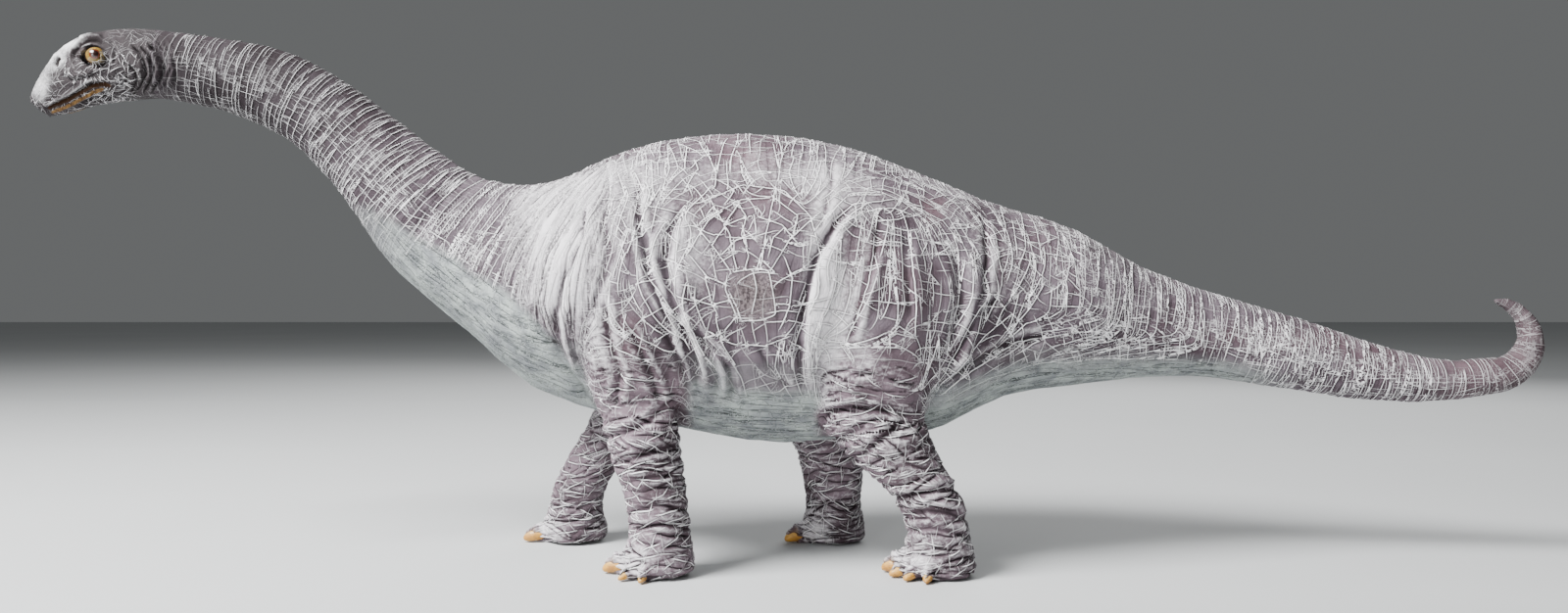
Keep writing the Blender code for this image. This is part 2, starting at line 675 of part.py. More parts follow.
def make_claws(leg, target, cutters):
    foot_depth = leg["lower"][1][2] * leg["depth"]
    foot_width = leg["lower"][1][3] * leg["width"]
    for angle, size in leg["claws"]:
        turn = math.radians(angle)
        length, width, height = CLAW_LENGTH * size, CLAW_WIDTH * size, CLAW_HEIGHT * size
        reach = CLAW_REACH_SHARE * length
        x = leg["foot_x"] - (foot_depth + reach) * math.cos(turn)
        y = leg["y"] + (foot_width + reach) * math.sin(turn) * leg["side"]
        centre = (x, y, height / 2 + CLAW_LIFT)
        heading = (0.0, math.radians(-CLAW_DIP), -turn * leg["side"])
        half = (length / 2, width / 2, height / 2)
        claw = ball(f"{target.name}_claw", centre, half, heading, cutters, CLAW_SEGMENTS, CLAW_RINGS)
        combine(target, claw, "UNION")


def make_leg(name, parts, cutters, skin, belly):
    """One leg from the knee down, fitted under the belly, with its claws and the plug for the torso."""
    leg = leg_route(name)
    lower = loft(name, lower_leg_rings(leg), parts, skin)
    combine(lower, belly, "DIFFERENCE")
    plug_rings = leg_plug_rings(leg, -LEG_PLUG_ROOT, WALL + LEG_PLUG_RISE, 0.0)
    combine(lower, loft(f"{name}_plug", plug_rings, cutters), "UNION")
    make_claws(leg, lower, cutters)


def shell_pins(side, shell, cutters):
    """Bosses inside the back and the belly: pins on the left shell, holes for them in the right one."""
    for share in PIN_PLACE_SHARES:
        stop = NECK_STOP + share * (TAIL_STOP - NECK_STOP)
        for angle in (0.0, 180.0):
            x, _, z = body_point(stop, angle, WALL + BOSS_SINK_SHARE * BOSS_RADIUS)
            face = side * (CLEARANCE / 2 + BOSS_SETBACK)
            boss_centre = (x, face + side * BOSS_LENGTH / 2, z)
            combine(shell, pin("boss_blank", boss_centre, BOSS_RADIUS, BOSS_LENGTH, cutters), "UNION")
            if side < 0:
                centre = (x, 0.0, z)
                combine(shell, pin("pin_blank", centre, PIN_RADIUS, 2 * PIN_LENGTH, cutters), "UNION")
            else:
                room = 2 * (PIN_LENGTH + CLEARANCE)
                hole = pin("pin_hole_cutter", (x, 0.0, z), PIN_RADIUS + CLEARANCE, room, cutters)
                combine(shell, hole, "DIFFERENCE")


def flank_place(surface, side, along, up):
    """Where the flank's skin is at a place given in shares of the torso, and which way it faces."""
    start = Vector((NECK_ROOT_X + along * TORSO_LENGTH, side * TORSO_WIDTH, BELLY_HEIGHT + up * TORSO_DEPTH))
    place, facing, _, _ = surface.ray_cast(start, Vector((0.0, -side, 0.0)))
    return np.array(place), np.array(facing)


def fold_rings(route, surface, side, width, reach, sunk):
    """A long low swelling along the flank, its middle sunk under the skin and its ends drawn in."""
    table = np.array(route)
    stops = np.concatenate([[0.0], np.cumsum(np.hypot(*np.diff(table, axis=0).T))])
    spaced = curve_through(stops, table, np.linspace(0.0, stops[-1], FOLD_STEPS + 1))
    places, facings = np.transpose([flank_place(surface, side, *row) for row in spaced], (1, 0, 2))
    facings[1:-1] = facings[:-2] + facings[1:-1] + facings[2:]
    facings /= np.linalg.norm(facings, axis=1, keepdims=True)
    ahead = np.gradient(places, axis=0)
    across = np.cross(ahead, facings)
    across /= np.linalg.norm(across, axis=1, keepdims=True)
    full = FOLD_END_SHARE + (1 - FOLD_END_SHARE) * np.sin(np.linspace(0.0, math.pi, FOLD_STEPS + 1))
    turns = np.arange(FOLD_SIDES) * 2 * math.pi / FOLD_SIDES
    return [
        [p - f * sunk + (a * width / 2 * math.cos(t) + f * reach * math.sin(t)) * share for t in turns]
        for p, f, a, share in zip(places, facings, across, full)
    ]


def fold_flank(shell, side, cutters):
    """The main folds of the hide stand out from the flank, and the deepest furrows are cut beside them."""
    surface = BVHTree.FromObject(shell, bpy.context.evaluated_depsgraph_get())
    for route in FOLD_ROUTE_SHARES:
        rings = fold_rings(route, surface, side, FOLD_WIDTH, FOLD_RISE + FOLD_ROOT, FOLD_ROOT)
        combine(shell, loft("fold", rings, cutters), "UNION")
    for route in FURROW_ROUTE_SHARES:
        rings = fold_rings(route, surface, side, FURROW_WIDTH, FURROW_DEPTH + FURROW_LIFT, -FURROW_LIFT)
        combine(shell, loft("furrow_cutter", rings, cutters), "DIFFERENCE")


def make_shell(name, side, parts, cutters, skin, cavity):
    """One hollow half of the torso, with its shoulder and thigh, and a keyed hole over each leg."""
    stops = np.linspace(NECK_STOP + CLEARANCE, TAIL_STOP, TORSO_STEPS + 1)
    shell = loft(name, [half_ring(stop, side) for stop in stops], parts, skin)
    legs = {key: leg_route(key) for key in LEG_SWING_SHARES if LEG_SWING_SHARES[key][0] == side}
    for key, leg in legs.items():
        mass = loft(f"{key}_mass", upper_leg_rings(leg, CLEARANCE, 0.0), cutters)
        combine(shell, mass, "UNION")
    fold_flank(shell, side, cutters)
    combine(shell, cavity, "DIFFERENCE")
    for key, leg in legs.items():
        room = loft(f"{key}_room_cutter", upper_leg_rings(leg, CLEARANCE + WALL, WALL), cutters)
        combine(shell, room, "DIFFERENCE")
        hole_rings = leg_plug_rings(leg, -LEG_PLUG_ROOT, WALL + LEG_PLUG_RISE + CLEARANCE, CLEARANCE)
        combine(shell, loft(f"{key}_hole_cutter", hole_rings, cutters), "DIFFERENCE")
    shell_pins(side, shell, cutters)


def make_figure():
    clear_scene()
    parts = new_collection("dinosaur_figure")
    cutters = new_collection("cutters")
    skin = plain_material("painted_skin", *PAINTED_SKIN)
    leg_skin = plain_material("painted_leg_skin", *PAINTED_LEG)
    eye = plain_material("glossy_eye", *GLOSSY_AMBER)
    steel = plain_material("steel_wire", *PLAIN_STEEL)
    head = make_head(parts, cutters, skin)
    make_eyes(parts, cutters, head, eye)
    make_neck(parts, cutters, skin, steel)
    make_tail(parts, cutters, skin, steel)
    cavity = loft("cavity_cutter", cavity_rings(), cutters)
    make_shell("torso_left_shell", -1, parts, cutters, skin, cavity)
    make_shell("torso_right_shell", 1, parts, cutters, skin, cavity)
    belly = loft("belly_cutter", body_rings(NECK_STOP, TAIL_STOP, TORSO_STEPS, -CLEARANCE), cutters)
    for name in LEG_SWING_SHARES:
        make_leg(name, parts, cutters, leg_skin, belly)


make_figure()
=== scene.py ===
import json
import math

import bpy
import numpy as np
from mathutils import Euler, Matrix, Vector
from mathutils.bvhtree import BVHTree
from mathutils.kdtree import KDTree


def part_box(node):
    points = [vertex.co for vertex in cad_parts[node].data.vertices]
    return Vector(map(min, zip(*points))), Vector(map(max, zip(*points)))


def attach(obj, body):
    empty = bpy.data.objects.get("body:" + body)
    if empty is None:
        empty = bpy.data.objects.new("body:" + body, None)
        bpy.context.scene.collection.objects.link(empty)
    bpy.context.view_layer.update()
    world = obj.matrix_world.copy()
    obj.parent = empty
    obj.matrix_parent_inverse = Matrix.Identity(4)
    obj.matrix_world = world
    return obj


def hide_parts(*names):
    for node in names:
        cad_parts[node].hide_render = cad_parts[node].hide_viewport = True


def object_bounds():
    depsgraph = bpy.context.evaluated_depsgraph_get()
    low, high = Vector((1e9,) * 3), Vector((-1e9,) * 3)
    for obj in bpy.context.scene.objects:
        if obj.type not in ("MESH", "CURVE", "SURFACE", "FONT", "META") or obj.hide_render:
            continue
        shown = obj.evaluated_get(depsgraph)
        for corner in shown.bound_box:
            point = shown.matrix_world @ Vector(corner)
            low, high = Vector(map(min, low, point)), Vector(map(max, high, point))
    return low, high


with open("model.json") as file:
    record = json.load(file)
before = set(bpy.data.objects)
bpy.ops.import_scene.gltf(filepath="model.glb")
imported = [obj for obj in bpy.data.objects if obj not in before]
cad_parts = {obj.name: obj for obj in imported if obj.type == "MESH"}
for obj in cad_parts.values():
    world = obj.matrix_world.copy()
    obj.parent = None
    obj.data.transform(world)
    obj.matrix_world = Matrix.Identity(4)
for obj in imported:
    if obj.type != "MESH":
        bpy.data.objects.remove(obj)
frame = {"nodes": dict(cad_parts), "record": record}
CAD_LOW, CAD_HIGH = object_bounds()

# One modelled millimetre in metres, from the figure's own length
FIGURE_LENGTH = 500.4
MM = (CAD_HIGH.x - CAD_LOW.x) / FIGURE_LENGTH

# The camera, in modelled millimetres, and the picture it takes, in pixels
PICTURE_WIDTH, PICTURE_HEIGHT = 1600, 626
SENSOR, LENS = 36.0, 27.0
FOCAL_PIXELS = PICTURE_WIDTH * LENS / SENSOR
CAMERA_X, CAMERA_DISTANCE, CAMERA_HEIGHT = -2.4, 400.0, 85.0

# A distance past any on the figure, and a length too short to divide by
FAR, TINY = 1e9, 1e-9
UPWARD = np.array([0.0, 0.0, 1.0])

rng = np.random.default_rng(7)


# Numbers over points

def smooth(low, high, value):
    t = np.clip((value - low) / (high - low), 0.0, 1.0)
    return t * t * (3 - 2 * t)


def unit(v):
    return v / np.maximum(np.linalg.norm(v, axis=-1, keepdims=True), TINY)


def dots(a, b):
    """The dot product of each pair of rows."""
    return np.einsum("ij,ij->i", a, b)


def hashed(cells, seed):
    """A number from 0 to 1 for each whole-numbered cell, the same on every run."""
    n = cells[..., 0] * 374761393 + cells[..., 1] * 668265263 + cells[..., 2] * 2147483647 + seed * 974634777
    n = (n ^ (n >> 13)) * 1274126177
    n = n ^ (n >> 16)
    return (n & 0xFFFFFF) / float(0xFFFFFF)


def noise(points, size, seed, octaves=1):
    """Smooth value noise between -1 and 1, with cells of the given size."""
    total, weight, part = 0.0, 0.0, 1.0
    for k in range(octaves):
        p = points / size * 2.0**k + 31.7 * k + 1000.0
        base = np.floor(p).astype(np.int64)
        t = p - base
        t = t * t * (3 - 2 * t)
        value = 0.0
        for corner in range(8):
            step = np.array([corner & 1, corner >> 1 & 1, corner >> 2 & 1])
            share = np.prod(np.where(step == 1, t, 1 - t), axis=1)
            value = value + share * hashed(base + step, seed + k)
        total = total + part * (2 * value - 1)
        weight += part
        part *= 0.5
    return total / weight


def stretches(line):
    """The lengths of a line's stretches, and how far along it each of its places lies."""
    steps = np.linalg.norm(np.diff(line, axis=0), axis=1)
    return steps, np.concatenate([[0.0], np.cumsum(steps)])


def to_polyline(points, line):
    """For each 2-D point: distance to a line, how far along it that is, 0 to 1, and on which side."""
    line = np.asarray(line, float)
    best = np.full(len(points), FAR)
    where = np.zeros(len(points))
    side = np.ones(len(points))
    steps, reach = stretches(line)
    for k in range(len(line) - 1):
        a, d = line[k], line[k + 1] - line[k]
        off = points - a
        t = np.clip(off @ d / (d @ d), 0.0, 1.0)
        gap = off - t[:, None] * d
        dist = np.linalg.norm(gap, axis=1)
        nearer = dist < best
        best[nearer] = dist[nearer]
        where[nearer] = (reach[k] + t * steps[k])[nearer]
        side[nearer] = np.sign(off[:, 0] * d[1] - off[:, 1] * d[0])[nearer]
    return best, where / reach[-1], side


# The middle line of the body, from the snout to the tip of the tail, in modelled millimetres
SPINE = np.array([
    (-250.0, -13.0, 152.5), (-242.2, -11.5, 157.4), (-234.0, -10.0, 162.7), (-224.5, -8.4, 165.3),
    (-214.6, -6.9, 166.1), (-204.8, -5.6, 165.4), (-195.1, -4.4, 164.0), (-185.4, -3.4, 162.1),
    (-176.1, -2.5, 159.1), (-167.1, -1.8, 155.0), (-158.7, -1.2, 149.9), (-151.1, -0.8, 143.7),
    (-143.9, -0.5, 136.9), (-136.9, -0.3, 129.9), (-130.1, -0.1, 122.8), (-122.8, 0.0, 116.3),
    (-114.9, 0.0, 110.5), (-106.3, 0.0, 105.6), (-97.6, 0.0, 101.1), (-88.7, 0.0, 96.7),
    (-79.3, 0.0, 93.8), (-59.7, 0.0, 92.8), (-40.1, 0.0, 93.2), (-20.5, 0.0, 91.9),
    (-0.8, 0.0, 90.8), (18.8, 0.0, 89.9), (38.3, 0.0, 86.9), (57.9, 0.0, 85.6),
    (77.5, 0.0, 86.1), (87.3, 0.0, 85.3), (97.1, 0.0, 83.8), (106.6, 0.0, 81.6),
    (116.2, -0.2, 79.4), (125.9, -0.4, 77.7), (135.6, -0.6, 76.2), (145.3, -0.9, 74.4),
    (154.9, -1.3, 72.4), (164.5, -1.8, 70.1), (174.0, -2.3, 67.8), (183.6, -2.9, 65.6),
    (193.2, -3.6, 63.5), (202.9, -4.4, 61.8), (212.7, -5.2, 60.5), (222.5, -6.1, 60.3),
    (232.2, -7.1, 61.8), (241.4, -8.0, 64.8), (245.9, -8.5, 73.3), (243.1, -8.2, 82.5),
    (234.6, -7.3, 86.9),
])
SPINE_STEPS, SPINE_STOPS = stretches(SPINE)
# Up to this place the line runs on to the right; past it the tip of the tail turns back
TURN_BACK = 46


def sway(x):
    """How far the middle line lies from the middle plane, at a place along X."""
    return np.interp(x, SPINE[:TURN_BACK, 0], SPINE[:TURN_BACK, 1])


def on_spine(along, values):
    """Values given at the stops of the middle line, read off at these lengths along it."""
    return np.stack([np.interp(along, SPINE_STOPS, values[:, i]) for i in range(3)], axis=1)


def spine_places(points):
    """For each point: distance along the middle line, the line's way, and how far aside and above it lies."""
    dirs = unit(np.diff(SPINE, axis=0))
    best = np.full(len(points), FAR)
    along = np.zeros(len(points))
    for k in range(len(dirs)):
        t = np.clip((points - SPINE[k]) @ dirs[k], 0.0, SPINE_STEPS[k])
        gap = points - SPINE[k] - t[:, None] * dirs[k]
        dist = dots(gap, gap)
        nearer = dist < best
        best[nearer] = dist[nearer]
        along[nearer] = SPINE_STOPS[k] + t[nearer]
    nodes = np.vstack([dirs[:1], unit(dirs[:-1] + dirs[1:]), dirs[-1:]])
    tangent = unit(on_spine(along, nodes))
    out = points - on_spine(along, SPINE)
    side = unit(np.cross(tangent, UPWARD))
    return along, tangent, dots(out, side), dots(out, np.cross(side, tangent))


def picture_places(points):
    """Where each point shows in the picture, with the far side turned over to the near side."""
    middle = sway(points[:, 0])
    away = CAMERA_DISTANCE + middle - np.abs(points[:, 1] - middle)
    across = PICTURE_WIDTH / 2 + (points[:, 0] - CAMERA_X) * FOCAL_PIXELS / away
    down = PICTURE_HEIGHT / 2 - (points[:, 2] - CAMERA_HEIGHT) * FOCAL_PIXELS / away
    return np.stack([across, down], axis=1)


# The plain skin, from the solids

# The first skin's cells, and how far the solids are grown so that the gaps between them close
COARSE, GROWN = 1.25, 0.22
SKIN_NODES = (
    "head", "neck", "torso_left_shell", "torso_right_shell", "tail",
    "front_left_leg", "front_right_leg", "hind_left_leg", "hind_right_leg",
)
HEAD, NECK, FIRST_LEG = 0, 1, 5
LEG_NODES = SKIN_NODES[FIRST_LEG:]


def arrays_of(mesh):
    points = np.empty(len(mesh.vertices) * 3)
    mesh.vertices.foreach_get("co", points)
    normals = np.empty(len(mesh.vertices) * 3)
    mesh.vertices.foreach_get("normal", normals)
    return points.reshape(-1, 3), normals.reshape(-1, 3)


def quads_of(mesh):
    faces = np.empty(len(mesh.loops), np.int32)
    mesh.loops.foreach_get("vertex_index", faces)
    return faces.reshape(-1, 4)


def mesh_from(name, points, *groups):
    """A mesh of these points and each group's faces in turn; all faces of a group have as many sides."""
    corners = np.concatenate([np.ravel(faces) for faces in groups]).astype(np.int32)
    counts = np.concatenate([np.full(len(faces), faces.shape[1]) for faces in groups])
    mesh = bpy.data.meshes.new(name)
    mesh.vertices.add(len(points))
    mesh.vertices.foreach_set("co", np.ascontiguousarray(points, float).ravel())
    mesh.loops.add(len(corners))
    mesh.loops.foreach_set("vertex_index", corners)
    mesh.polygons.add(len(counts))
    mesh.polygons.foreach_set("loop_start", (np.cumsum(counts) - counts).astype(np.int32))
    mesh.update(calc_edges=True)
    return mesh


def normals_of(points, faces):
    mesh = mesh_from("work", points, faces)
    _, normals = arrays_of(mesh)
    bpy.data.meshes.remove(mesh)
    return normals


def remeshed(mesh, cell):
    """The outside of the mesh in quads of this size."""
    obj = bpy.data.objects.new("work", mesh)
    bpy.context.scene.collection.objects.link(obj)
    modifier = obj.modifiers.new("remesh", "REMESH")
    modifier.mode, modifier.voxel_size, modifier.adaptivity = "VOXEL", cell, 0.0
    graph = bpy.context.evaluated_depsgraph_get()
    made = bpy.data.meshes.new_from_object(obj.evaluated_get(graph))
    bpy.data.objects.remove(obj, do_unlink=True)
    return made


def solid(name):
    """A solid's points in modelled millimetres, their normals, and its triangles."""
    mesh = frame["nodes"][name].data
    points, normals = arrays_of(mesh)
    mesh.calc_loop_triangles()
    tris = np.empty(len(mesh.loop_triangles) * 3, np.int32)
    mesh.loop_triangles.foreach_get("vertices", tris)
    return points / MM, normals, tris.reshape(-1, 3)


def grown_solids():
    """The solids under the skin as one soup, grown a little so that the gaps between them close."""
    points, faces, start = [], [], 0
    for name in SKIN_NODES:
        own, normals, tris = solid(name)
        _, first, index = np.unique(np.round(own, 3), axis=0, return_index=True, return_inverse=True)
        index = index.reshape(-1)
        mean = np.stack([np.bincount(index, weights=normals[:, i]) for i in range(3)], axis=1)
        tris = index[tris]
        keep = (tris[:, 0] != tris[:, 1]) & (tris[:, 1] != tris[:, 2]) & (tris[:, 0] != tris[:, 2])
        points.append(own[first] + unit(mean) * GROWN)
        faces.append(tris[keep] + start)
        start += len(first)
    return np.vstack(points), np.vstack(faces)


def sides_of(faces):
    return np.vstack([faces[:, [0, 1]], faces[:, [1, 2]], faces[:, [2, 3]], faces[:, [3, 0]]])


def outer_skin(points, faces):
    """Only the part of the mesh that hangs together with its leftmost point, with its points renumbered."""
    edges = sides_of(faces)
    labels = np.arange(len(points))
    while True:
        low = np.minimum(labels[edges[:, 0]], labels[edges[:, 1]])
        new = labels.copy()
        np.minimum.at(new, edges[:, 0], low)
        np.minimum.at(new, edges[:, 1], low)
        new = new[new]
        if (new == labels).all():
            break
        labels = new
    wanted = labels == labels[np.argmin(points[:, 0])]
    number = np.cumsum(wanted) - 1
    return points[wanted], number[faces[wanted[faces[:, 0]]]]


def edge_pairs(faces):
    return np.unique(np.sort(sides_of(faces), axis=1), axis=0)


def spread(values, edges, count):
    """Mean of each point's neighbours."""
    a, b = edges[:, 0], edges[:, 1]
    degree = np.bincount(a, minlength=count) + np.bincount(b, minlength=count)
    columns = values.reshape(count, -1)
    out = np.empty_like(columns)
    for i in range(columns.shape[1]):
        out[:, i] = np.bincount(a, columns[b, i], count) + np.bincount(b, columns[a, i], count)
    return (out / degree[:, None]).reshape(values.shape)


def relaxed(values, edges, times, back=0.0):
    """Values smoothed over the mesh; with back, pushed out again so that nothing shrinks."""
    for _ in range(times):
        values = values + 0.5 * (spread(values, edges, len(values)) - values)
        if back:
            values = values - back * (spread(values, edges, len(values)) - values)
    return values


def plain_skin():
    """The skin before any sculpting: its points, their normals and its quads."""
    closed = remeshed(mesh_from("soup", *grown_solids()), COARSE)
    points, _ = arrays_of(closed)
    points, faces = outer_skin(points, quads_of(closed))
    points = relaxed(points, edge_pairs(faces), 12, back=0.53)
    coarse = mesh_from("coarse", points, faces)
    _, normals = arrays_of(coarse)
    points = points - unit(normals) * GROWN
    coarse.vertices.foreach_set("co", points.ravel())
    return *arrays_of(coarse), quads_of(coarse)


def node_of_faces(points, faces):
    """The number of the solid nearest to each face."""
    all_points, all_faces, owner, start = [], [], [], 0
    for k, name in enumerate(SKIN_NODES):
        own, _, tris = solid(name)
        all_points.append(own)
        all_faces.append(tris + start)
        owner += [k] * len(tris)
        start += len(own)
    tree = BVHTree.FromPolygons(np.vstack(all_points).tolist(), np.vstack(all_faces).tolist())
    middles = points[faces].mean(axis=1)
    return np.array([owner[tree.find_nearest(p)[2]] for p in middles.tolist()])


# How the sculpted lines run

# Guide strokes over the near flank, in picture places: folds and ridges follow them up to this far
GUIDE_REACH = 17.0
GUIDES = (
    ((569, 187), (560, 222), (545, 268), (540, 310)),
    ((609, 173), (597, 207), (571, 260), (562, 310), (575, 350)),
    ((625, 168), (640, 200), (636, 240), (618, 290), (604, 340)),
    ((650, 160), (660, 195), (657, 240), (668, 290), (690, 345)),
    ((704, 150), (712, 175), (690, 205), (672, 232), (668, 262), (684, 300), (700, 350), (712, 400)),
    ((730, 215), (712, 240), (701, 272), (702, 310), (714, 345), (735, 375)),
    ((730, 215), (755, 202), (785, 203), (812, 220), (828, 250), (834, 290), (825, 330), (805, 360)),
    ((746, 278), (728, 252), (706, 232)), ((766, 274), (764, 236), (758, 196)),
    ((786, 276), (806, 246), (836, 214)), ((857, 227), (835, 265), (822, 310), (816, 360), (822, 403)),
    ((885, 235), (872, 280), (858, 330), (846, 390)), ((905, 250), (900, 300), (890, 350), (880, 400)),
    ((930, 227), (933, 294), (939, 353), (930, 400)),
    ((935, 205), (965, 225), (982, 265), (984, 310), (970, 360), (955, 395)),
    ((975, 190), (1000, 240), (1005, 300), (990, 350)),
    ((955, 400), (985, 360), (1010, 325), (1040, 290)),
    ((955, 405), (1000, 372), (1050, 346), (1110, 338)),
    ((948, 414), (1010, 387), (1080, 368), (1200, 362)), ((848, 222), (870, 205), (900, 200), (935, 205)),
    ((613, 307), (622, 355), (636, 393), (625, 440)), ((653, 307), (681, 342), (700, 386), (702, 428)),
    ((590, 330), (585, 360), (592, 395), (612, 430)), ((681, 316), (708, 360), (716, 400)),
    ((706, 338), (731, 373), (738, 405)), ((775, 333), (789, 373), (812, 402)),
)

# Raised lines drawn where they show: the border of the brown patch and the arcs round it
DRAWN_RIDGES = (
    (
        (744, 280), (752, 277), (770, 275), (786, 277), (789, 290), (792, 308), (793, 322), (780, 328),
        (757, 329),
    ),
    ((742, 281), (741, 296), (748, 312), (754, 329)), ((735, 262), (750, 246), (772, 240)),
    ((800, 262), (809, 284), (806, 312), (796, 336)),
    ((722, 258), (742, 230), (770, 221), (800, 232), (815, 250)), ((822, 300), (812, 330), (797, 350)),
    ((746, 278), (728, 252), (706, 226)), ((752, 276), (744, 240), (722, 200)),
    ((776, 274), (783, 236), (792, 192)), ((786, 277), (806, 246), (838, 218)),
    ((790, 292), (812, 278), (838, 268)), ((791, 310), (812, 312), (832, 306)),
    ((744, 292), (722, 284), (703, 262)), ((746, 306), (726, 312), (704, 304)),
    ((752, 322), (738, 340), (716, 346)), ((700, 262), (722, 225), (752, 205), (786, 203)),
    ((720, 205), (758, 190), (800, 196), (826, 222), (836, 262), (833, 300), (820, 332)),
    ((722, 338), (748, 352), (780, 355), (806, 345)), ((757, 329), (752, 315), (744, 300)),
    ((768, 276), (772, 295), (766, 322)), ((757, 240), (764, 262), (760, 276)),
    ((784, 244), (776, 260), (771, 276)), ((752, 205), (762, 222), (757, 240)),
    ((800, 232), (789, 243), (784, 262)), ((857, 232), (880, 216), (910, 212), (938, 220)),
    ((862, 224), (884, 208), (915, 204), (941, 212)),
    ((893, 240), (891, 262), (886, 290), (873, 325), (862, 352)),
    ((929, 236), (931, 270), (935, 310), (934, 345)), ((953, 400), (975, 362), (990, 330), (1006, 305)),
    ((956, 402), (985, 367), (1008, 342), (1034, 322)),
    ((958, 404), (998, 377), (1040, 352), (1092, 341), (1140, 340)),
    ((962, 410), (1010, 386), (1062, 370), (1130, 366), (1200, 366)),
)

# Deep folds over the flank: depth in millimetres, half width in picture places, and the route
FOLDS = (
    (0.5, 5.0, ((622, 196), (617, 230), (622, 262), (612, 296), (600, 330))),
    (1.0, 4.0, ((600, 200), (592, 240), (574, 285), (566, 322), (572, 356), (588, 384))),
    (1.0, 4.0, ((652, 180), (650, 215), (656, 250), (664, 290))),
    (1.2, 5.5, ((700, 205), (684, 236), (678, 270), (684, 306), (697, 344), (708, 384), (713, 420))),
    (1.3, 4.5, ((660, 232), (658, 268), (672, 306), (690, 350))),
    (1.1, 4.5, ((704, 332), (722, 356), (731, 386), (730, 408))),
    (1.2, 4.0, ((726, 352), (743, 378), (748, 398), (741, 411))),
    (1.0, 4.0, ((690, 322), (706, 352), (715, 392))),
    (0.9, 4.0, ((772, 352), (786, 378), (808, 400))),
    (1.2, 5.0, ((874, 205), (852, 228), (833, 262), (822, 300), (815, 345), (816, 385), (824, 410))),
    (0.4, 4.0, ((846, 160), (848, 190), (842, 215), (836, 240))),
    (0.9, 4.5, ((898, 222), (893, 262), (878, 310), (866, 350))),
    (0.8, 4.5, ((925, 232), (926, 280), (930, 330))),
    (0.9, 6.0, ((975, 250), (982, 300), (972, 350), (956, 392), (944, 425))),
    (0.9, 4.0, ((1003, 215), (1008, 262), (1004, 300), (984, 345), (962, 392))),
    (1.6, 5.0, ((952, 404), (985, 378), (1030, 352), (1075, 340))),
    (0.9, 4.0, ((955, 402), (978, 360), (1000, 325), (1022, 296))),
    (1.2, 4.5, ((560, 340), (572, 368), (592, 394), (604, 412))),
    (1.5, 5.0, ((614, 300), (620, 345), (632, 384), (624, 425), (612, 452))),
    (1.3, 4.5, ((640, 330), (655, 362), (668, 392), (676, 420))),
    (1.2, 4.0, ((655, 300), (676, 335), (694, 372), (704, 410))),
)
# Long swellings between the folds, in the same terms
SWELLS = (
    (0.5, 9.0, ((848, 245), (835, 285), (828, 330), (828, 380))),
    (0.3, 8.0, ((884, 250), (874, 300), (858, 345))),
    (0.3, 9.0, ((672, 235), (668, 270), (680, 320), (700, 370))),
    (0.2, 8.0, ((606, 205), (600, 250), (588, 300), (584, 350))),
    (0.2, 8.0, ((636, 190), (638, 240), (634, 290))),
    (0.5, 9.0, ((606, 320), (604, 360), (612, 400))),
    (0.4, 9.0, ((640, 320), (652, 370), (656, 410))),
    (0.2, 7.0, ((720, 335), (738, 372), (739, 400))),
    (0.2, 8.0, ((994, 235), (998, 290), (984, 345))),
    (0.9, 14.0, ((766, 230), (790, 260), (796, 300))),
    (0.4, 12.0, ((930, 250), (950, 300), (950, 350))),
)
# The same on the near legs: the elbow, the hem over the knee, and the rolls round shin and ankle
LIMB_FOLDS = (
    (1.3, 4.5, ((606, 448), (634, 444), (662, 430), (692, 404))),
    (1.1, 4.0, ((624, 478), (650, 466), (676, 458), (702, 452))),
    (0.9, 3.5, ((632, 496), (660, 488), (706, 484))),
    (0.9, 3.5, ((640, 524), (672, 516), (706, 520))),
    (0.9, 3.5, ((642, 543), (674, 535), (708, 538))),
    (1.5, 4.5, ((826, 436), (846, 422), (872, 416), (905, 419), (940, 428))),
    (1.4, 4.5, ((862, 470), (880, 464), (902, 446), (926, 427))),
    (1.0, 4.0, ((842, 452), (862, 446), (884, 434))),
    (1.1, 4.0, ((900, 512), (926, 508), (960, 500), (984, 498))),
    (1.1, 4.0, ((920, 528), (946, 522), (972, 524), (994, 532))),
    (0.9, 3.5, ((916, 544), (950, 540), (994, 548))),
)
LIMB_SWELLS = (
    (0.7, 9.0, ((840, 432), (862, 430), (890, 428))),
    (0.8, 9.0, ((900, 470), (924, 450), (940, 440))),
    (0.7, 9.0, ((628, 460), (655, 450), (682, 438))),
    (0.6, 7.0, ((926, 517), (956, 512), (988, 516))),
)
# And on the head: the brow, the lids, the mouth and lips, the folds behind the jaw, the nostril
HEAD_FOLDS = (
    (1.0, 2.0, ((74, 62), (76, 52), (82, 45), (91, 41.5), (100, 42), (107, 47))),
    (0.7, 1.6, ((84, 63), (90, 68), (97, 69.5), (104, 67), (109, 61))),
    (1.3, 1.9, ((44, 112), (50, 110), (59, 106), (71, 100), (82, 93), (93, 86), (106, 85), (114, 88))),
    (0.5, 1.5, ((56, 118), (69, 113), (84, 105), (96, 98), (106, 95))),
    (0.8, 2.2, ((131, 66), (138, 74), (140, 83), (134, 94))),
    (1.1, 2.4, ((134, 46), (142, 54), (147, 64), (149, 76), (143, 89), (136, 96))),
    (1.1, 2.4, ((143, 48), (152, 57), (157, 70), (153, 83), (147, 93))),
    (1.5, 3.0, ((150, 44), (162, 55), (168, 67), (164, 79), (155, 94))),
    (0.7, 2.2, ((166, 42), (177, 60), (180, 78), (172, 96))),
    (0.6, 2.0, ((62, 76), (72, 82), (86, 80), (98, 76))),
    (0.9, 1.6, ((57.5, 68), (58.5, 62), (61.5, 58.5))),
    (0.5, 2.0, ((112, 40), (118, 52), (116, 66))),
    (0.9, 2.0, ((160, 42), (170, 56), (174, 70), (168, 86), (158, 98))),
)
JAW_FOLDS = HEAD_FOLDS[4:9]
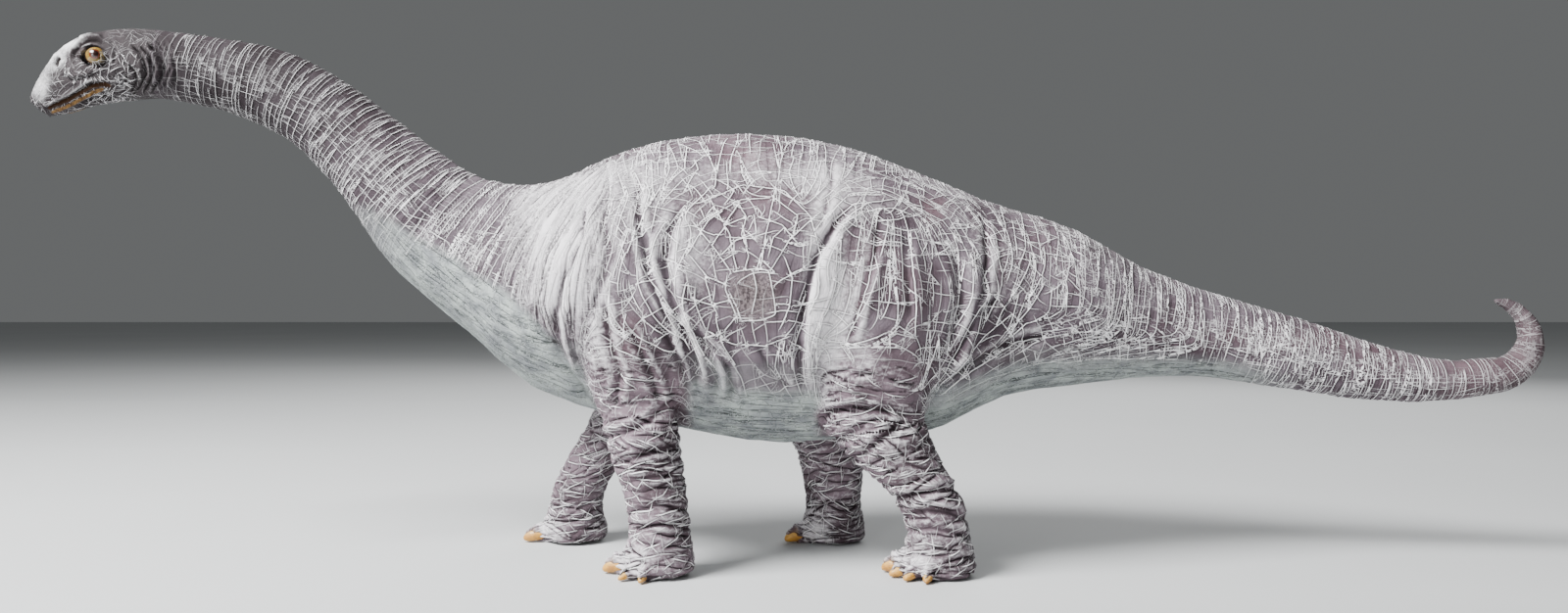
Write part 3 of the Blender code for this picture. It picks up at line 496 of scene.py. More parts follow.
HEAD_SWELLS = (
    (0.35, 3.0, ((58, 100), (72, 95), (84, 86), (96, 80))),
    (0.5, 1.6, ((58, 113), (71, 107), (84, 100), (96, 94))),
    (0.6, 3.4, ((80, 40), (92, 36), (106, 38))),
    (0.5, 2.4, ((54, 66), (58, 57), (64, 54))),
    (0.8, 6.0, ((114, 70), (122, 80), (118, 88))),
)
# Where the pale throat, belly and tail underside begin, across and down the picture
PALE_EDGE = np.array([
    (300, 240), (340, 200), (380, 218), (420, 240), (460, 264), (500, 290), (530, 312), (560, 342),
    (585, 372), (605, 396), (640, 408), (700, 408), (760, 403), (815, 400), (850, 406), (900, 416),
    (950, 420), (985, 403), (1020, 393), (1060, 386), (1100, 380), (1160, 377), (1220, 380), (1262, 392),
    (1300, 420),
])


def guided(normals, tangent, place, flank):
    """The way round the body at each face, turned where a guide stroke passes."""
    around = unit(np.cross(normals, tangent))
    along = np.cross(around, normals)
    # Ways are summed at twice their angle, because a line runs both ways
    summed_round, summed_along = np.full(len(place), 0.35), np.zeros(len(place))
    for guide in GUIDES:
        line = np.asarray(guide, float)
        gap, where, _ = to_polyline(place, line)
        weight = np.exp(-((gap / GUIDE_REACH) ** 2)) * flank
        near = weight > 0.01
        steps, reach = stretches(line)
        k = np.clip(np.searchsorted(reach / steps.sum(), where[near]) - 1, 0, len(line) - 2)
        way = (line[1:] - line[:-1])[k]
        way = unit(np.stack([way[:, 0], np.zeros(len(way)), -way[:, 1]], axis=1))
        turn = 2 * np.arctan2(dots(way, along[near]), dots(way, around[near]))
        summed_round[near] += weight[near] * np.cos(turn) * 2.0
        summed_along[near] += weight[near] * np.sin(turn) * 2.0
    half = np.arctan2(summed_along, summed_round)[:, None] / 2
    return around * np.cos(half) + along * np.sin(half)


def round_the_legs(share, main, middles, normals):
    """On the legs the lines run round the leg, level or a little slanted."""
    level = unit(np.cross(normals, UPWARD + 0.25 * noise(middles, 14.0, 5)[:, None]))
    same = np.where(dots(main, level) < 0, -1.0, 1.0)[:, None]
    share = share[:, None]
    return unit(main * (1 - share) + level * same * share)


class Growth:
    """Lines that grow over the skin until they meet one that is already there."""

    # How near a line stops at another, the faintest seed, and the distance given where no line is near
    CLOSE, FAINTEST, BEYOND = 0.75, 0.05, 9.0
    # The steps of a drawn line in the picture, and how far each strays from the last
    DRAWN_STEP, STRAY = 2.7, 0.35

    def __init__(self, tree, middles, normals):
        self.tree, self.middles, self.normals = tree, middles, normals
        self.taken, self.busy = set(), set()
        self.points, self.before, self.strength = [], [], []

    @staticmethod
    def cell(p, size):
        return size, int(p[0] // size), int(p[1] // size), int(p[2] // size)

    def walk(self, p, face, ways, onward, turn, steps, wobble):
        """Places along one arm of a line, a millimetre apart, from its seed."""
        found, last = [], None
        for _ in range(steps):
            normal = self.normals[face]
            ahead = ways[face] * onward
            if last is not None and ahead.dot(last) < 0:
                ahead = -ahead
            last = ahead
            ahead = ahead * math.cos(turn) + normal.cross(ahead) * math.sin(turn)
            at, _, face, _ = self.tree.find_nearest(p + ahead)
            if at is None:
                break
            p = at
            found.append(p)
            if self.cell(p, self.CLOSE) in self.taken:
                break
            turn = 0.96 * turn + rng.normal(0.0, wobble)
        return found

    def add(self, places, strength, room):
        """One more line, which tapers over its last places."""
        count = len(places)
        for k, p in enumerate(places):
            self.before.append(len(self.points) - 1 if k else -1)
            self.points.append(p)
            ends = min(1.0, (min(k, count - 1 - k) + 1.0) / 3.0)
            self.strength.append(strength * ends)
            self.taken.add(self.cell(p, self.CLOSE))
            self.busy.add(self.cell(p, room))

    def grow(self, ways, pitch, strength, lengths, turn, wobble):
        """Faces are tried as seeds in random order; one that lies too near an earlier line is passed over."""
        # Pitches go in steps of a quarter millimetre, so that the seeds of one region share their cells
        pitch = (np.round(np.broadcast_to(pitch, len(self.middles)) * 4) / 4).tolist()
        strength = strength.tolist()
        for face in rng.permutation(len(self.middles)).tolist():
            p, room = self.middles[face], pitch[face]
            if strength[face] < self.FAINTEST or self.cell(p, room) in self.busy:
                continue
            steps = int(rng.uniform(*lengths) / 2)
            turned = rng.normal(0.0, turn)
            left = self.walk(p, face, ways, -1.0, turned, steps, wobble)
            right = self.walk(p, face, ways, 1.0, turned, steps, wobble)
            places = left[::-1] + [p] + right
            if len(places) > 2:
                self.add(places, strength[face] * rng.uniform(0.4, 1.15), room)

    def draw(self, routes, strength, room):
        """Lines set on the near flank where the picture shows them, and on the far flank to match."""
        for route in routes:
            line = np.asarray(route, float)
            _, reach = stretches(line)
            stops = np.linspace(0.0, reach[-1], max(3, int(reach[-1] / self.DRAWN_STEP)))
            places = np.stack([np.interp(stops, reach, line[:, i]) for i in (0, 1)], axis=1)
            shift = np.cumsum(rng.normal(0.0, self.STRAY, places.shape), axis=0) * 0.5
            near, far = [], []
            for across, down in places + shift:
                ray = Vector((across - PICTURE_WIDTH / 2, FOCAL_PIXELS, PICTURE_HEIGHT / 2 - down))
                lens = Vector((CAMERA_X, -CAMERA_DISTANCE, CAMERA_HEIGHT))
                at = self.tree.ray_cast(lens, ray.normalized())[0]
                if at is not None:
                    near.append(at)
                    mirrored = Vector((at.x, 2 * float(sway(at.x)) - at.y, at.z))
                    far.append(self.tree.find_nearest(mirrored)[0])
            for hits in (near, far):
                if len(hits) > 2:
                    self.add(hits, strength, room)

    def distances(self, all_points, all_normals, wanted):
        """Signed and plain distance to the nearest line, and that line's strength, at the wanted points."""
        points, normals = all_points[wanted], all_normals[wanted]
        stamps = np.array([tuple(p) for p in self.points])
        before = np.array(self.before)
        strength = np.array(self.strength)
        after = np.full(len(stamps), -1)
        has = np.nonzero(before >= 0)[0]
        after[before[has]] = has
        tree = KDTree(len(stamps))
        for k, p in enumerate(stamps.tolist()):
            tree.insert(p, k)
        tree.balance()
        near = np.array([tree.find(p)[1] for p in points.tolist()])
        gap = np.full(len(points), FAR)
        signed = np.zeros(len(points))
        power = strength[near].copy()
        for other, flip in ((before, -1.0), (after, 1.0)):
            b = np.where(other[near] >= 0, other[near], near)
            step = stamps[b] - stamps[near]
            off = points - stamps[near]
            share = np.clip(dots(off, step) / np.maximum(dots(step, step), TINY), 0.0, 1.0)
            off = off - share[:, None] * step
            away = np.linalg.norm(off, axis=1)
            side = dots(np.cross(normals, step * flip), off)
            nearer = (away < gap) & (b != near)
            gap[nearer] = away[nearer]
            signed[nearer] = (np.where(side < 0, -1.0, 1.0) * away)[nearer]
            power[nearer] = (strength[near] * (1 - share) + strength[b] * share)[nearer]
        gap = np.minimum(gap, self.BEYOND)
        found = []
        for values, beyond in ((signed, self.BEYOND), (gap, self.BEYOND), (power, 0.0)):
            full = np.full(len(all_points), beyond)
            full[wanted] = values
            found.append(full)
        return found


# The regions of the skin

def spots(place, table):
    """Soft oval patches in picture places: across, down, half width, half height, amount."""
    total = np.zeros(len(place))
    for across, down, wide, high, amount in table:
        off = ((place[:, 0] - across) / wide) ** 2 + ((place[:, 1] - down) / high) ** 2
        total += amount * np.exp(-off)
    return total


# Where the flank is brushed paler, with painted shade in darkening spots such as the one on the hind legs,
# and where it stays pinkish brown
BRUSH_AND_SHADE_SPOTS = (
    (572, 235, 44, 95, 1.4), (640, 195, 36, 46, 0.35), (706, 285, 16, 44, 0.35), (843, 310, 17, 84, 1.7),
    (612, 360, 14, 40, 0.45), (905, 210, 45, 14, 0.35), (690, 320, 14, 60, 0.25),
    (1010, 260, 30, 80, 0.20), (835, 190, 26, 22, 0.20), (878, 330, 10, 60, 0.30),
    (925, 300, 26, 60, -0.3), (490, 230, 50, 60, -0.15), (770, 370, 50, 26, -0.25),
    (940, 340, 36, 60, -0.5), (770, 180, 150, 24, 0.5), (700, 250, 30, 50, 0.25),
    (768, 302, 24, 24, -0.6), (925, 470, 60, 60, -0.45), (640, 400, 50, 50, -0.15),
    (905, 376, 52, 22, 0.45),
)
BLUSH_SPOTS = (
    (760, 150, 55, 24, 0.55), (790, 205, 50, 28, 0.45), (768, 300, 24, 24, 0.35),
    (655, 150, 40, 12, 0.35), (953, 216, 12, 12, 0.9), (925, 300, 40, 60, 0.30), (880, 290, 18, 50, 0.35),
    (640, 350, 22, 40, 0.5), (690, 400, 26, 30, 0.45), (930, 380, 50, 24, 0.45),
    (1100, 250, 120, 30, 0.30), (1330, 345, 120, 20, 0.45), (1500, 360, 80, 50, 0.8),
    (430, 165, 90, 30, 0.15), (1060, 360, 60, 14, 0.4),
)
# The same on the face: the snout's top is nearly white, and it is dark round the eye and behind the jaw
FACE_FROST = (
    (41, 88, 12, 23, 1.15), (56, 60, 15, 12, 1.3), (72, 44, 17, 9, 1.4), (92, 35, 16, 5, 0.5),
    (62, 84, 16, 12, 0.25), (76, 58, 6, 10, -0.9), (112, 50, 10, 12, -0.7), (92, 62, 18, 12, -0.2),
    (104, 44, 10, 6, -0.5), (70, 98, 20, 5, 0.3), (124, 78, 14, 12, 0.1), (96, 100, 40, 8, -0.2),
)
# The brown patch on the flank, in the picture
PATCH_MIDDLE = (768.0, 302.0)

# Where each knee stands along X, and on which side
KNEES = ((-48.2, -1), (-58.2, 1), (24.75, -1), (13.75, 1))


def limb_share(points, top, spare=0.0):
    """How much a place belongs to the column above one of the knees, up to the given height."""
    share = np.zeros(len(points))
    for knee, side in KNEES:
        near = smooth(17.0 + spare, 12.0 + spare, np.abs(points[:, 0] - knee))
        near = near * smooth(10.0, 17.0, points[:, 1] * side)
        share = np.maximum(share, near * smooth(top, top - 22.0, points[:, 2]))
    return share


def pale_share(points, normals, place, along, legs):
    """How much a place belongs to the pale throat, belly and underside of the tail, 0 to 1."""
    edge = np.interp(place[:, 0], *PALE_EDGE.T)
    share = smooth(-9.0, 7.0, place[:, 1] - edge + 8.0 * noise(points, 10.0, 21, 3))
    under = smooth(-0.35, -0.75, normals[:, 2]) * smooth(300.0, 380.0, place[:, 0])
    share = np.maximum(share, under)
    share = share * smooth(285.0, 330.0, place[:, 0]) * smooth(1330.0, 1240.0, place[:, 0])
    share = share * (1 - limb_share(points, 82.0, 1.5))
    return share * (1 - smooth(0.1, 0.8, legs)) * smooth(120.0, 160.0, along)


def in_neck(along):
    """How much a place along the middle line belongs to the neck; the next two say it of other parts."""
    return smooth(165.0, 140.0, along)


def in_root(along):
    """The neck's root, up to the shoulder."""
    return smooth(128.0, 150.0, along) * smooth(225.0, 200.0, along)


def in_tip(along):
    return smooth(470.0, 540.0, along)


def on_shoulder(place):
    """How much a place belongs to the long folds over the shoulder."""
    return np.exp(-(((place[:, 0] - 572.0) / 42.0) ** 2)) * smooth(420.0, 380.0, place[:, 1])


def as_vectors(rows):
    return [Vector(row) for row in rows.tolist()]


# The sculpting goes in and out by no more than this, in millimetres
DEEPEST, HIGHEST = -4.0, 3.0

# Names that end in _here hold a share for each face of the plain skin
coarse_points, coarse_normals, coarse_faces = plain_skin()
face_owners = node_of_faces(coarse_points, coarse_faces)
middles = coarse_points[coarse_faces].mean(axis=1)
face_normals = unit(coarse_normals[coarse_faces].mean(axis=1))
face_along, face_tangent, *face_offset = spine_places(middles)
face_place = picture_places(middles)
across, down = face_place.T
flank_here = smooth(0.25, 0.7, np.abs(face_normals[:, 1]))
legs_here = (face_owners >= FIRST_LEG).astype(float)
limb_here = np.maximum(legs_here, limb_share(middles, 84.0))
pale_here = pale_share(middles, face_normals, face_place, face_along, legs_here)
head_here = (face_owners == HEAD).astype(float)
tail_here = smooth(365.0, 380.0, face_along) * (1 - legs_here)
neck_here = in_neck(face_along) * (1 - head_here) * (1 - legs_here)
tip_here = in_tip(face_along) * (1 - legs_here)
root_here = in_root(face_along) * (1 - legs_here) * (1 - pale_here)
fold_here = on_shoulder(face_place) * smooth(0.2, 0.5, np.abs(face_normals[:, 1]))
fold_here = fold_here * (1 - legs_here) * (1 - neck_here)
patch_here = np.exp(-(np.linalg.norm(face_place - PATCH_MIDDLE, axis=1) / 22.0) ** 4) * flank_here
under_patch = np.exp(-(((face_place - (735.0, 376.0)) / (80.0, 26.0)) ** 2).sum(axis=1)) * flank_here
past_jaw = 1 - 0.8 * smooth(186.0, 168.0, across)
ends_here = np.maximum.reduce([neck_here, tail_here, root_here * (1 - fold_here)])
at_ends = ends_here > 0.5
trunk_here = ~at_ends * np.clip(2 - 2 * limb_here, 0.0, 1.0)

main = guided(face_normals, face_tangent, face_place, flank_here)
main = round_the_legs(np.maximum(legs_here, limb_share(middles, 90.0)), main, middles, face_normals)
main_ways, cross_ways = as_vectors(main), as_vectors(np.cross(face_normals, main))
long_ways = as_vectors(unit(face_tangent - face_normals * dots(face_tangent, face_normals)[:, None]))
tree = BVHTree.FromPolygons(coarse_points.tolist(), coarse_faces.tolist())
skin = tree, as_vectors(middles), as_vectors(face_normals)
net, web, cut, scratch = Growth(*skin), Growth(*skin), Growth(*skin), Growth(*skin)

# The raised net: rings on neck and tail, long lines round the trunk, short ones on the limbs
net.draw(DRAWN_RIDGES, 1.0, 3.5)
net_pitch = 3.5 - 1.0 * neck_here - 0.75 * tail_here + 0.5 * fold_here
net_here = 1.0 - 0.9 * fold_here - 0.95 * pale_here - 0.45 * tip_here - 0.6 * patch_here - head_here
net_here = net_here * past_jaw * (1 - 0.8 * under_patch)
ring_here = (face_along + 2.4 * noise(middles, 11.0, 61)) % (2.7 - 0.3 * neck_here) < 0.8
net.grow(main_ways, 2.0, net_here * at_ends * ring_here, (7.0, 36.0), 0.06, 0.035)
net.grow(main_ways, net_pitch, net_here * trunk_here, (8.0, 34.0), 0.16, 0.04)
net.grow(main_ways, net_pitch, np.clip(2 * limb_here, 0.0, 1.0), (3.0, 12.0), 0.3, 0.1)

# The web: a fine tangle on the cheek, and short lines across the net
cheek_here = head_here * (0.6 + 0.4 * smooth(80.0, 96.0, across)) * smooth(50.0, 60.0, down)
cheek_here = cheek_here * smooth(146.0, 130.0, across) + 0.25 * head_here * smooth(104.0, 116.0, across)
web.grow(cross_ways, 1.25, cheek_here, (2.0, 8.0), 1.3, 0.14)
low_here = smooth(0.9, 2.0, np.abs(np.arctan2(*face_offset)))
web_pitch = 3.75 + neck_here * (1.5 - 2.5 * low_here) + tail_here * (1.5 - 1.75 * low_here)
web_here = 0.9 - 0.85 * fold_here - 0.9 * pale_here - 0.3 * tip_here
web_here = web_here - 0.7 * ends_here * (1 - low_here) - head_here - 0.3 * patch_here
web_here = web_here * past_jaw * (1 - 0.6 * under_patch)
web.grow(cross_ways, web_pitch, web_here * at_ends, (2.5, 9.0), 0.14, 0.05)
web.grow(cross_ways, web_pitch, web_here * trunk_here, (4.0, 15.0), 0.45, 0.1)
web.grow(cross_ways, web_pitch, np.clip(1.6 * limb_here, 0.0, 0.6), (2.5, 8.0), 0.7, 0.15)

# Cut lines: long grooves between the shoulder folds, creases on the legs, scratches under the belly
cut_pitch = 7.0 - 1.75 * fold_here - 3.5 * root_here * (1 - fold_here) - 3.75 * limb_here
cut_here = fold_here + 0.25 * neck_here * (1 - pale_here)
cut_here = cut_here + 0.35 * (1 - neck_here) * (1 - pale_here) * (1 - tip_here) * (1 - fold_here)
cut_here = np.maximum(cut_here, 0.6 * root_here) * (1 - head_here) * (1 - limb_here)
cut.grow(main_ways, cut_pitch, cut_here, (24.0, 90.0), 0.05, 0.02)
cut.grow(main_ways, cut_pitch, 0.95 * limb_here, (10.0, 40.0), 0.3, 0.09)
scratch.grow(long_ways, 2.5, pale_here, (6.0, 34.0), 0.1, 0.05)
scratch.grow(main_ways, 3.0, 0.7 * pale_here, (2.0, 5.0), 0.3, 0.06)


# The fine skin

def split_once(faces, *columns):
    """Each quad cut into four, flat: the new quads, the halved edges, and the columns with their middles."""
    count = len(columns[0])
    sides = np.stack([faces, np.roll(faces, -1, axis=1)], axis=2).reshape(-1, 2)
    edges, index = np.unique(np.sort(sides, axis=1), axis=0, return_inverse=True)
    index = index.reshape(-1, 4) + count
    centre = np.arange(len(faces)) + count + len(edges)
    quads = [np.stack([faces[:, k], index[:, k], centre, index[:, k - 1]], axis=1) for k in range(4)]
    filled = [np.vstack([v, v[edges].mean(axis=1), v[faces].mean(axis=1)]) for v in columns]
    return np.stack(quads, axis=1).reshape(-1, 4), edges, *filled


def at_points(mask, times):
    """A mark on faces as a soft share on points."""
    flat = faces.ravel()
    total = np.bincount(flat, weights=np.repeat(mask.astype(float), 4), minlength=len(points))
    return relaxed(total / np.maximum(np.bincount(flat, minlength=len(points)), 1), edges, times)


# The whole skin is split once, and head, neck and legs once more
faces, _, points = split_once(coarse_faces, coarse_points)
points = relaxed(points, edge_pairs(faces), 3, back=0.5)
owners = np.repeat(face_owners, 4)
closer = (owners <= NECK) | (owners >= FIRST_LEG)
base_count = len(points)
seam_points = np.intersect1d(faces[closer], faces[~closer])
finer, halved, points, normals = split_once(faces[closer], points, normals_of(points, faces))
normals = unit(normals)
on_seam = np.isin(halved, seam_points).all(axis=1)
faces = np.vstack([faces[~closer], finer])
owners = np.concatenate([owners[~closer], np.repeat(owners[closer], 4)])
edges = edge_pairs(faces)

legs = at_points(owners >= FIRST_LEG, 24)
head = at_points(owners == HEAD, 12)
along, _, *offset = spine_places(points)
place = picture_places(points)
warped = place + 1.4 * np.stack([noise(points, 6.0, 31, 2), noise(points, 6.0, 33, 2)], axis=1)
flank = smooth(0.12, 0.5, np.abs(normals[:, 1]))
body = (1 - legs) * (1 - head)
neck = in_neck(along) * body
tip = in_tip(along) * body
pale = pale_share(points, normals, place, along, legs)
limb = np.maximum(legs, limb_share(points, 84.0))


def carved(places, weight, table, shape):
    """Grooves or swellings along routes in the picture."""
    height = np.zeros(len(places))
    for depth, half, route in table:
        line = np.asarray(route, float)
        low, high = line.min(axis=0) - 4 * half, line.max(axis=0) + 4 * half
        near = np.nonzero(((places > low) & (places < high)).all(axis=1) & (weight > 0.01))[0]
        gap, where, side = to_polyline(places[near], line)
        ends = smooth(0.0, 0.14, where) * smooth(1.0, 0.86, where)
        height[near] += shape(gap / half, side) * depth * ends * weight[near]
    return height


def groove(gap, side):
    lip = np.exp(-(((gap - 1.9) / 0.9) ** 2)) * (0.32 + 0.14 * side)
    return lip - np.exp(-((gap * 1.25) ** 1.6))


def swelling(gap, side):
    return np.exp(-(gap**2))


def ridge(gap, half):
    return np.exp(-((gap / half) ** 2))


upper = 1 - smooth(0.35, 0.9, legs)
height = carved(warped, flank * upper, FOLDS, groove) + carved(warped, flank * upper, SWELLS, swelling)
lumps = 0.45 * noise(points, 17.0, 41) * (1 - head)
height += lumps + 0.16 * noise(points, 5.0, 43) + 0.05 * noise(points, 1.9, 45, 2)

dark = pale < 0.95
net_side, net_gap, net_power = net.distances(points, normals, dark & (head < 0.9))
web_side, web_gap, web_power = web.distances(points, normals, dark)
cut_side, cut_gap, cut_power = cut.distances(points, normals, dark & (head < 0.9))
scratch_side, scratch_gap, scratch_power = scratch.distances(points, normals, pale > 0.02)

near_sole = smooth(9.0, 5.0, points[:, 2])
near_limb = limb * (points[:, 1] < 0)
shoulder = on_shoulder(place) * flank * body * (1 - neck)
root = in_root(along) * body * (1 - pale) * (1 - shoulder)
rolls = 0.2 * neck + 0.45 * root + 0.65 * shoulder + 1.05 * limb
rolls = rolls + 0.25 * (1 - neck - shoulder) * body * (1 - pale) * (1 - limb)
height += 0.32 * limb * noise(points * np.array([1.0, 1.0, 2.0]), 5.0, 47, 2) * (1 - near_sole)
height += carved(place, near_limb, LIMB_FOLDS, groove) + carved(place, near_limb, LIMB_SWELLS, swelling)
height -= rolls * cut_power * np.exp(-cut_gap / (0.55 + 0.1 * shoulder + 0.1 * limb))

# The lids round each eye bead, which sits a little behind and below its solid
EYE_SHIFT = np.array([1.2, 0.0, -0.3])
on_head = head * smooth(46.0, 40.0, along)
lid = np.zeros(len(points))
for node in ("left_eye", "right_eye"):
    corner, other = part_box(node)
    off = points - (np.array([(a + b) / 2 for a, b in zip(corner, other)]) / MM + EYE_SHIFT)
    off[:, 1] *= 0.55
    off[:, 2] += 0.22 * off[:, 0]
    reach = np.linalg.norm(off * np.array([0.84, 1.0, 1.36]), axis=1)
    lid = np.maximum(lid, ridge(reach - 3.15, 0.5))
    rim, moat = 0.9 * ridge(reach - 3.2, 0.5), 0.8 * ridge(reach - 4.3, 0.6)
    height += on_head * (rim - moat - 1.4 * smooth(2.7, 2.1, reach))
near_head = smooth(190.0, 176.0, place[:, 0]) * flank
height += carved(place, near_head, HEAD_FOLDS, groove) + carved(place, near_head, HEAD_SWELLS, swelling)


def along_route(route, half):
    """How near a place on the flank of the head is to a route in the picture, 0 to 1."""
    gap, _, _ = to_polyline(place, route)
    return smooth(half * 1.25, half * 0.75, gap) * flank * smooth(0.3, 0.7, head)


lip = along_route(((54, 114.5), (66, 109.5), (84, 100.5), (95, 94), (104, 91.5)), 1.7)
gape = along_route(((50, 110.5), (59, 107), (71, 101.5), (82, 95), (93, 88.5), (106, 86.5), (112, 88)), 1.6)
pit = along_route(((58.5, 65.5), (60.5, 60.5)), 1.9)
furrow = np.max([along_route(route, 1.0) for _, _, route in JAW_FOLDS], axis=0)
brow = along_route(((74, 63), (76, 52), (82, 45), (91, 41.5), (100, 42), (107, 47)), 3.0)

# Claws: angle outwards from straight ahead in degrees, and size as a share of the biggest
FRONT_CLAWS = ((-8.0, 1.0), (42.0, 0.54), (72.0, 0.46))
HIND_CLAWS = ((-14.0, 1.0), (16.0, 0.74), (42.0, 0.66), (68.0, 0.58))
CLAW_SIZE = np.array([8.6, 4.7, 4.2])
CLAW_TIP_DOWN = math.radians(-8.0)
FOOT_HALF_DEPTH, FOOT_HALF_WIDTH = 12.22, 11.27


def claws_of(node):
    """Each claw of a leg: its middle, its turn and its half sizes, from the sole that the record gives."""
    sole = next(m for m in frame["record"]["mounts"] if m["name"] == node.replace("_leg", "_sole"))
    foot = np.array(sole["pos_m"]) / MM
    side = math.copysign(1.0, foot[1])
    found = []
    for angle, size in FRONT_CLAWS if "front" in node else HIND_CLAWS:
        turn = math.radians(angle)
        reach = 0.2 * CLAW_SIZE[0] * size
        middle = foot + np.array([
            -(FOOT_HALF_DEPTH + reach) * math.cos(turn), (FOOT_HALF_WIDTH + reach) * math.sin(turn) * side,
            CLAW_SIZE[2] * size / 2 + 0.2,
        ])
        turned = Euler((0.0, CLAW_TIP_DOWN, -turn * side)).to_matrix()
        found.append((middle, np.array(turned), CLAW_SIZE * size / 2))
    return found


# How far each place is from the nearest claw, in claw sizes, and how far towards its tip
claw_reach, claw_front = np.full(len(points), 9.0), np.ones(len(points))
toes = np.zeros(len(points))
for node in LEG_NODES:
    for middle, turned, half in claws_of(node):
        local = (points - middle) @ turned / half
        reach = np.linalg.norm(local, axis=1)
        nearer = reach < claw_reach
        claw_reach[nearer], claw_front[nearer] = reach[nearer], -local[nearer, 0]
        toe = np.exp(-((local[:, 1] / 1.15) ** 2))
        toe = toe * smooth(-4.0, -0.6, -local[:, 0]) * smooth(0.5, -0.2, -local[:, 0])
        toes = np.maximum(toes, toe * smooth(4.2, 1.0, local[:, 2]) * (half[0] / 4.1))
tipped = smooth(1.9, 1.15, claw_reach) * smooth(0.05, 0.3, claw_front)
height = height * (1 - tipped) - 1.0 * tipped + legs * (1 - tipped) * (1.5 * toes - 0.35)
height += 0.35 * ridge(claw_reach - 1.45, 0.2) * smooth(0.3, 0.0, np.abs(claw_front - 0.05))
net_power, web_power, cut_power = net_power * (1 - tipped), web_power * (1 - tipped), cut_power * (1 - tipped)
quick = smooth(1.75, 1.35, claw_reach) * smooth(-0.12, 0.05, claw_front)


def hollows(values, times, low, high):
    """How deep each place lies below what surrounds it, from -1 (stands out) to 1."""
    below = relaxed(values, edges, times) - values
    return np.clip(np.where(below > 0, below / high, below / low), -1.0, 1.0)


# The paint darkens the hollows by this, as painted shade; it also sets the roughness
hollow = 0.25 * hollows(height, 5, 0.3, 0.22) + 0.6 * hollows(height, 40, 0.8, 0.7)
thinner = np.maximum(np.maximum(head, neck), legs)
height += (0.23 - 0.01 * thinner) * (1 + 0.4 * limb) * net_power * ridge(net_gap, 0.65 - 0.31 * thinner)
height += (0.19 - 0.01 * thinner) * web_power * ridge(web_gap, 0.65 - 0.33 * thinner)
height -= 0.25 * scratch_power * pale * ridge(scratch_gap, 0.6)
height = np.clip(height, DEEPEST, HIGHEST)

# Where the paint is brushed pale, with painted shade cut out of it below, and where it is pinkish
brush_and_shade = 0.5 + 0.35 * noise(points, 11.0, 51, 2) + spots(place, BRUSH_AND_SHADE_SPOTS) * flank * upper - 0.45 * neck
# Painted shade: less pale brushing on faces that look down
brush_and_shade -= 0.3 * smooth(0.0, -0.8, normals[:, 2]) * (1 - pale)
brush_and_shade = brush_and_shade * (1 - head) + head * (0.15 + spots(place, FACE_FROST) + 0.2 * noise(points, 3.0, 55, 2))
# Painted shade along the lower sides of the head and the front of the neck
brush_and_shade -= 0.5 * smooth(110.0, 80.0, along) * smooth(0.3, -0.5, normals[:, 2]) * body
brush_and_shade += legs * (0.55 * smooth(15.0, 5.0, points[:, 2]) * smooth(0.1, -0.5, normals[:, 0]) + 0.15)
blush = spots(place, BLUSH_SPOTS) * (0.3 + 0.7 * flank) + 0.3 * noise(points, 13.0, 53, 2) + 0.3 * limb
patch = np.exp(-(np.linalg.norm((place - PATCH_MIDDLE) / (25.0, 27.0), axis=1) ** 4)) * flank * body

shaped = points + normals * height[:, None]
# Places halfway along the border to the coarser skin stay on it, so that no gap opens
extra = np.nonzero(on_seam)[0]
shaped[base_count + extra] = shaped[halved[extra]].mean(axis=1)
shaped_normals = normals_of(shaped, faces)

MARKS = {
    "net_side": net_side, "net_gap": net_gap, "net_power": net_power,
    "web_side": web_side, "web_gap": web_gap, "web_power": web_power,
    "cut_side": cut_side, "cut_gap": cut_gap, "cut_power": cut_power,
    "scratch_side": scratch_side, "scratch_gap": scratch_gap, "scratch_power": scratch_power,
    "hollow": hollow, "brush_and_shade": brush_and_shade, "blush": blush, "pale": pale, "tip": tip, "limb": limb, "patch": patch,
    "neck": smooth(185.0, 70.0, along) * body,
}
FLOW = {"flow": np.stack([along, *offset], axis=1)}
FACE_MARKS = {"lip": lip, "gape": gape, "pit": pit, "brow": brow, "furrow": furrow, "lid": lid * on_head}
FOOT_MARKS = {"quick": quick}


def put_mark(mesh, name, values):
    """A number or a vector for each point, for the finishes to read."""
    values = np.asarray(values, np.float32)
    kind, key = ("FLOAT_VECTOR", "vector") if values.ndim == 2 else ("FLOAT", "value")
    mesh.attributes.new(name, kind, "POINT").data.foreach_set(key, values.ravel())


def placed(name, mesh, finish):
    mesh.polygons.foreach_set("use_smooth", np.ones(len(mesh.polygons), bool))
    mesh.materials.append(finish)
    obj = bpy.data.objects.new(name, mesh)
    bpy.context.scene.collection.objects.link(obj)
    return obj


def rims(faces):
    """The open edges of a piece, as closed rounds of points."""
    sides = np.stack([faces, np.roll(faces, -1, axis=1)], axis=2).reshape(-1, 2)
    _, first, times = np.unique(np.sort(sides, axis=1), axis=0, return_index=True, return_counts=True)
    ahead = {}
    for a, b in sides[first[times == 1]].tolist():
        ahead.setdefault(b, []).append(a)
    rounds = []
    while ahead:
        at, found = next(iter(ahead)), []
        while at in ahead:
            found.append(at)
            onward = ahead[at].pop()
            if not ahead[at]:
                del ahead[at]
            at = onward
        rounds.append(found)
    return rounds


# How far a piece's edge is turned in before its lid begins, so that no lid shows in a groove
TURNED_IN = 2.0
# How far the middle of a lid is pushed into the piece
LID_HOLLOW = 0.6


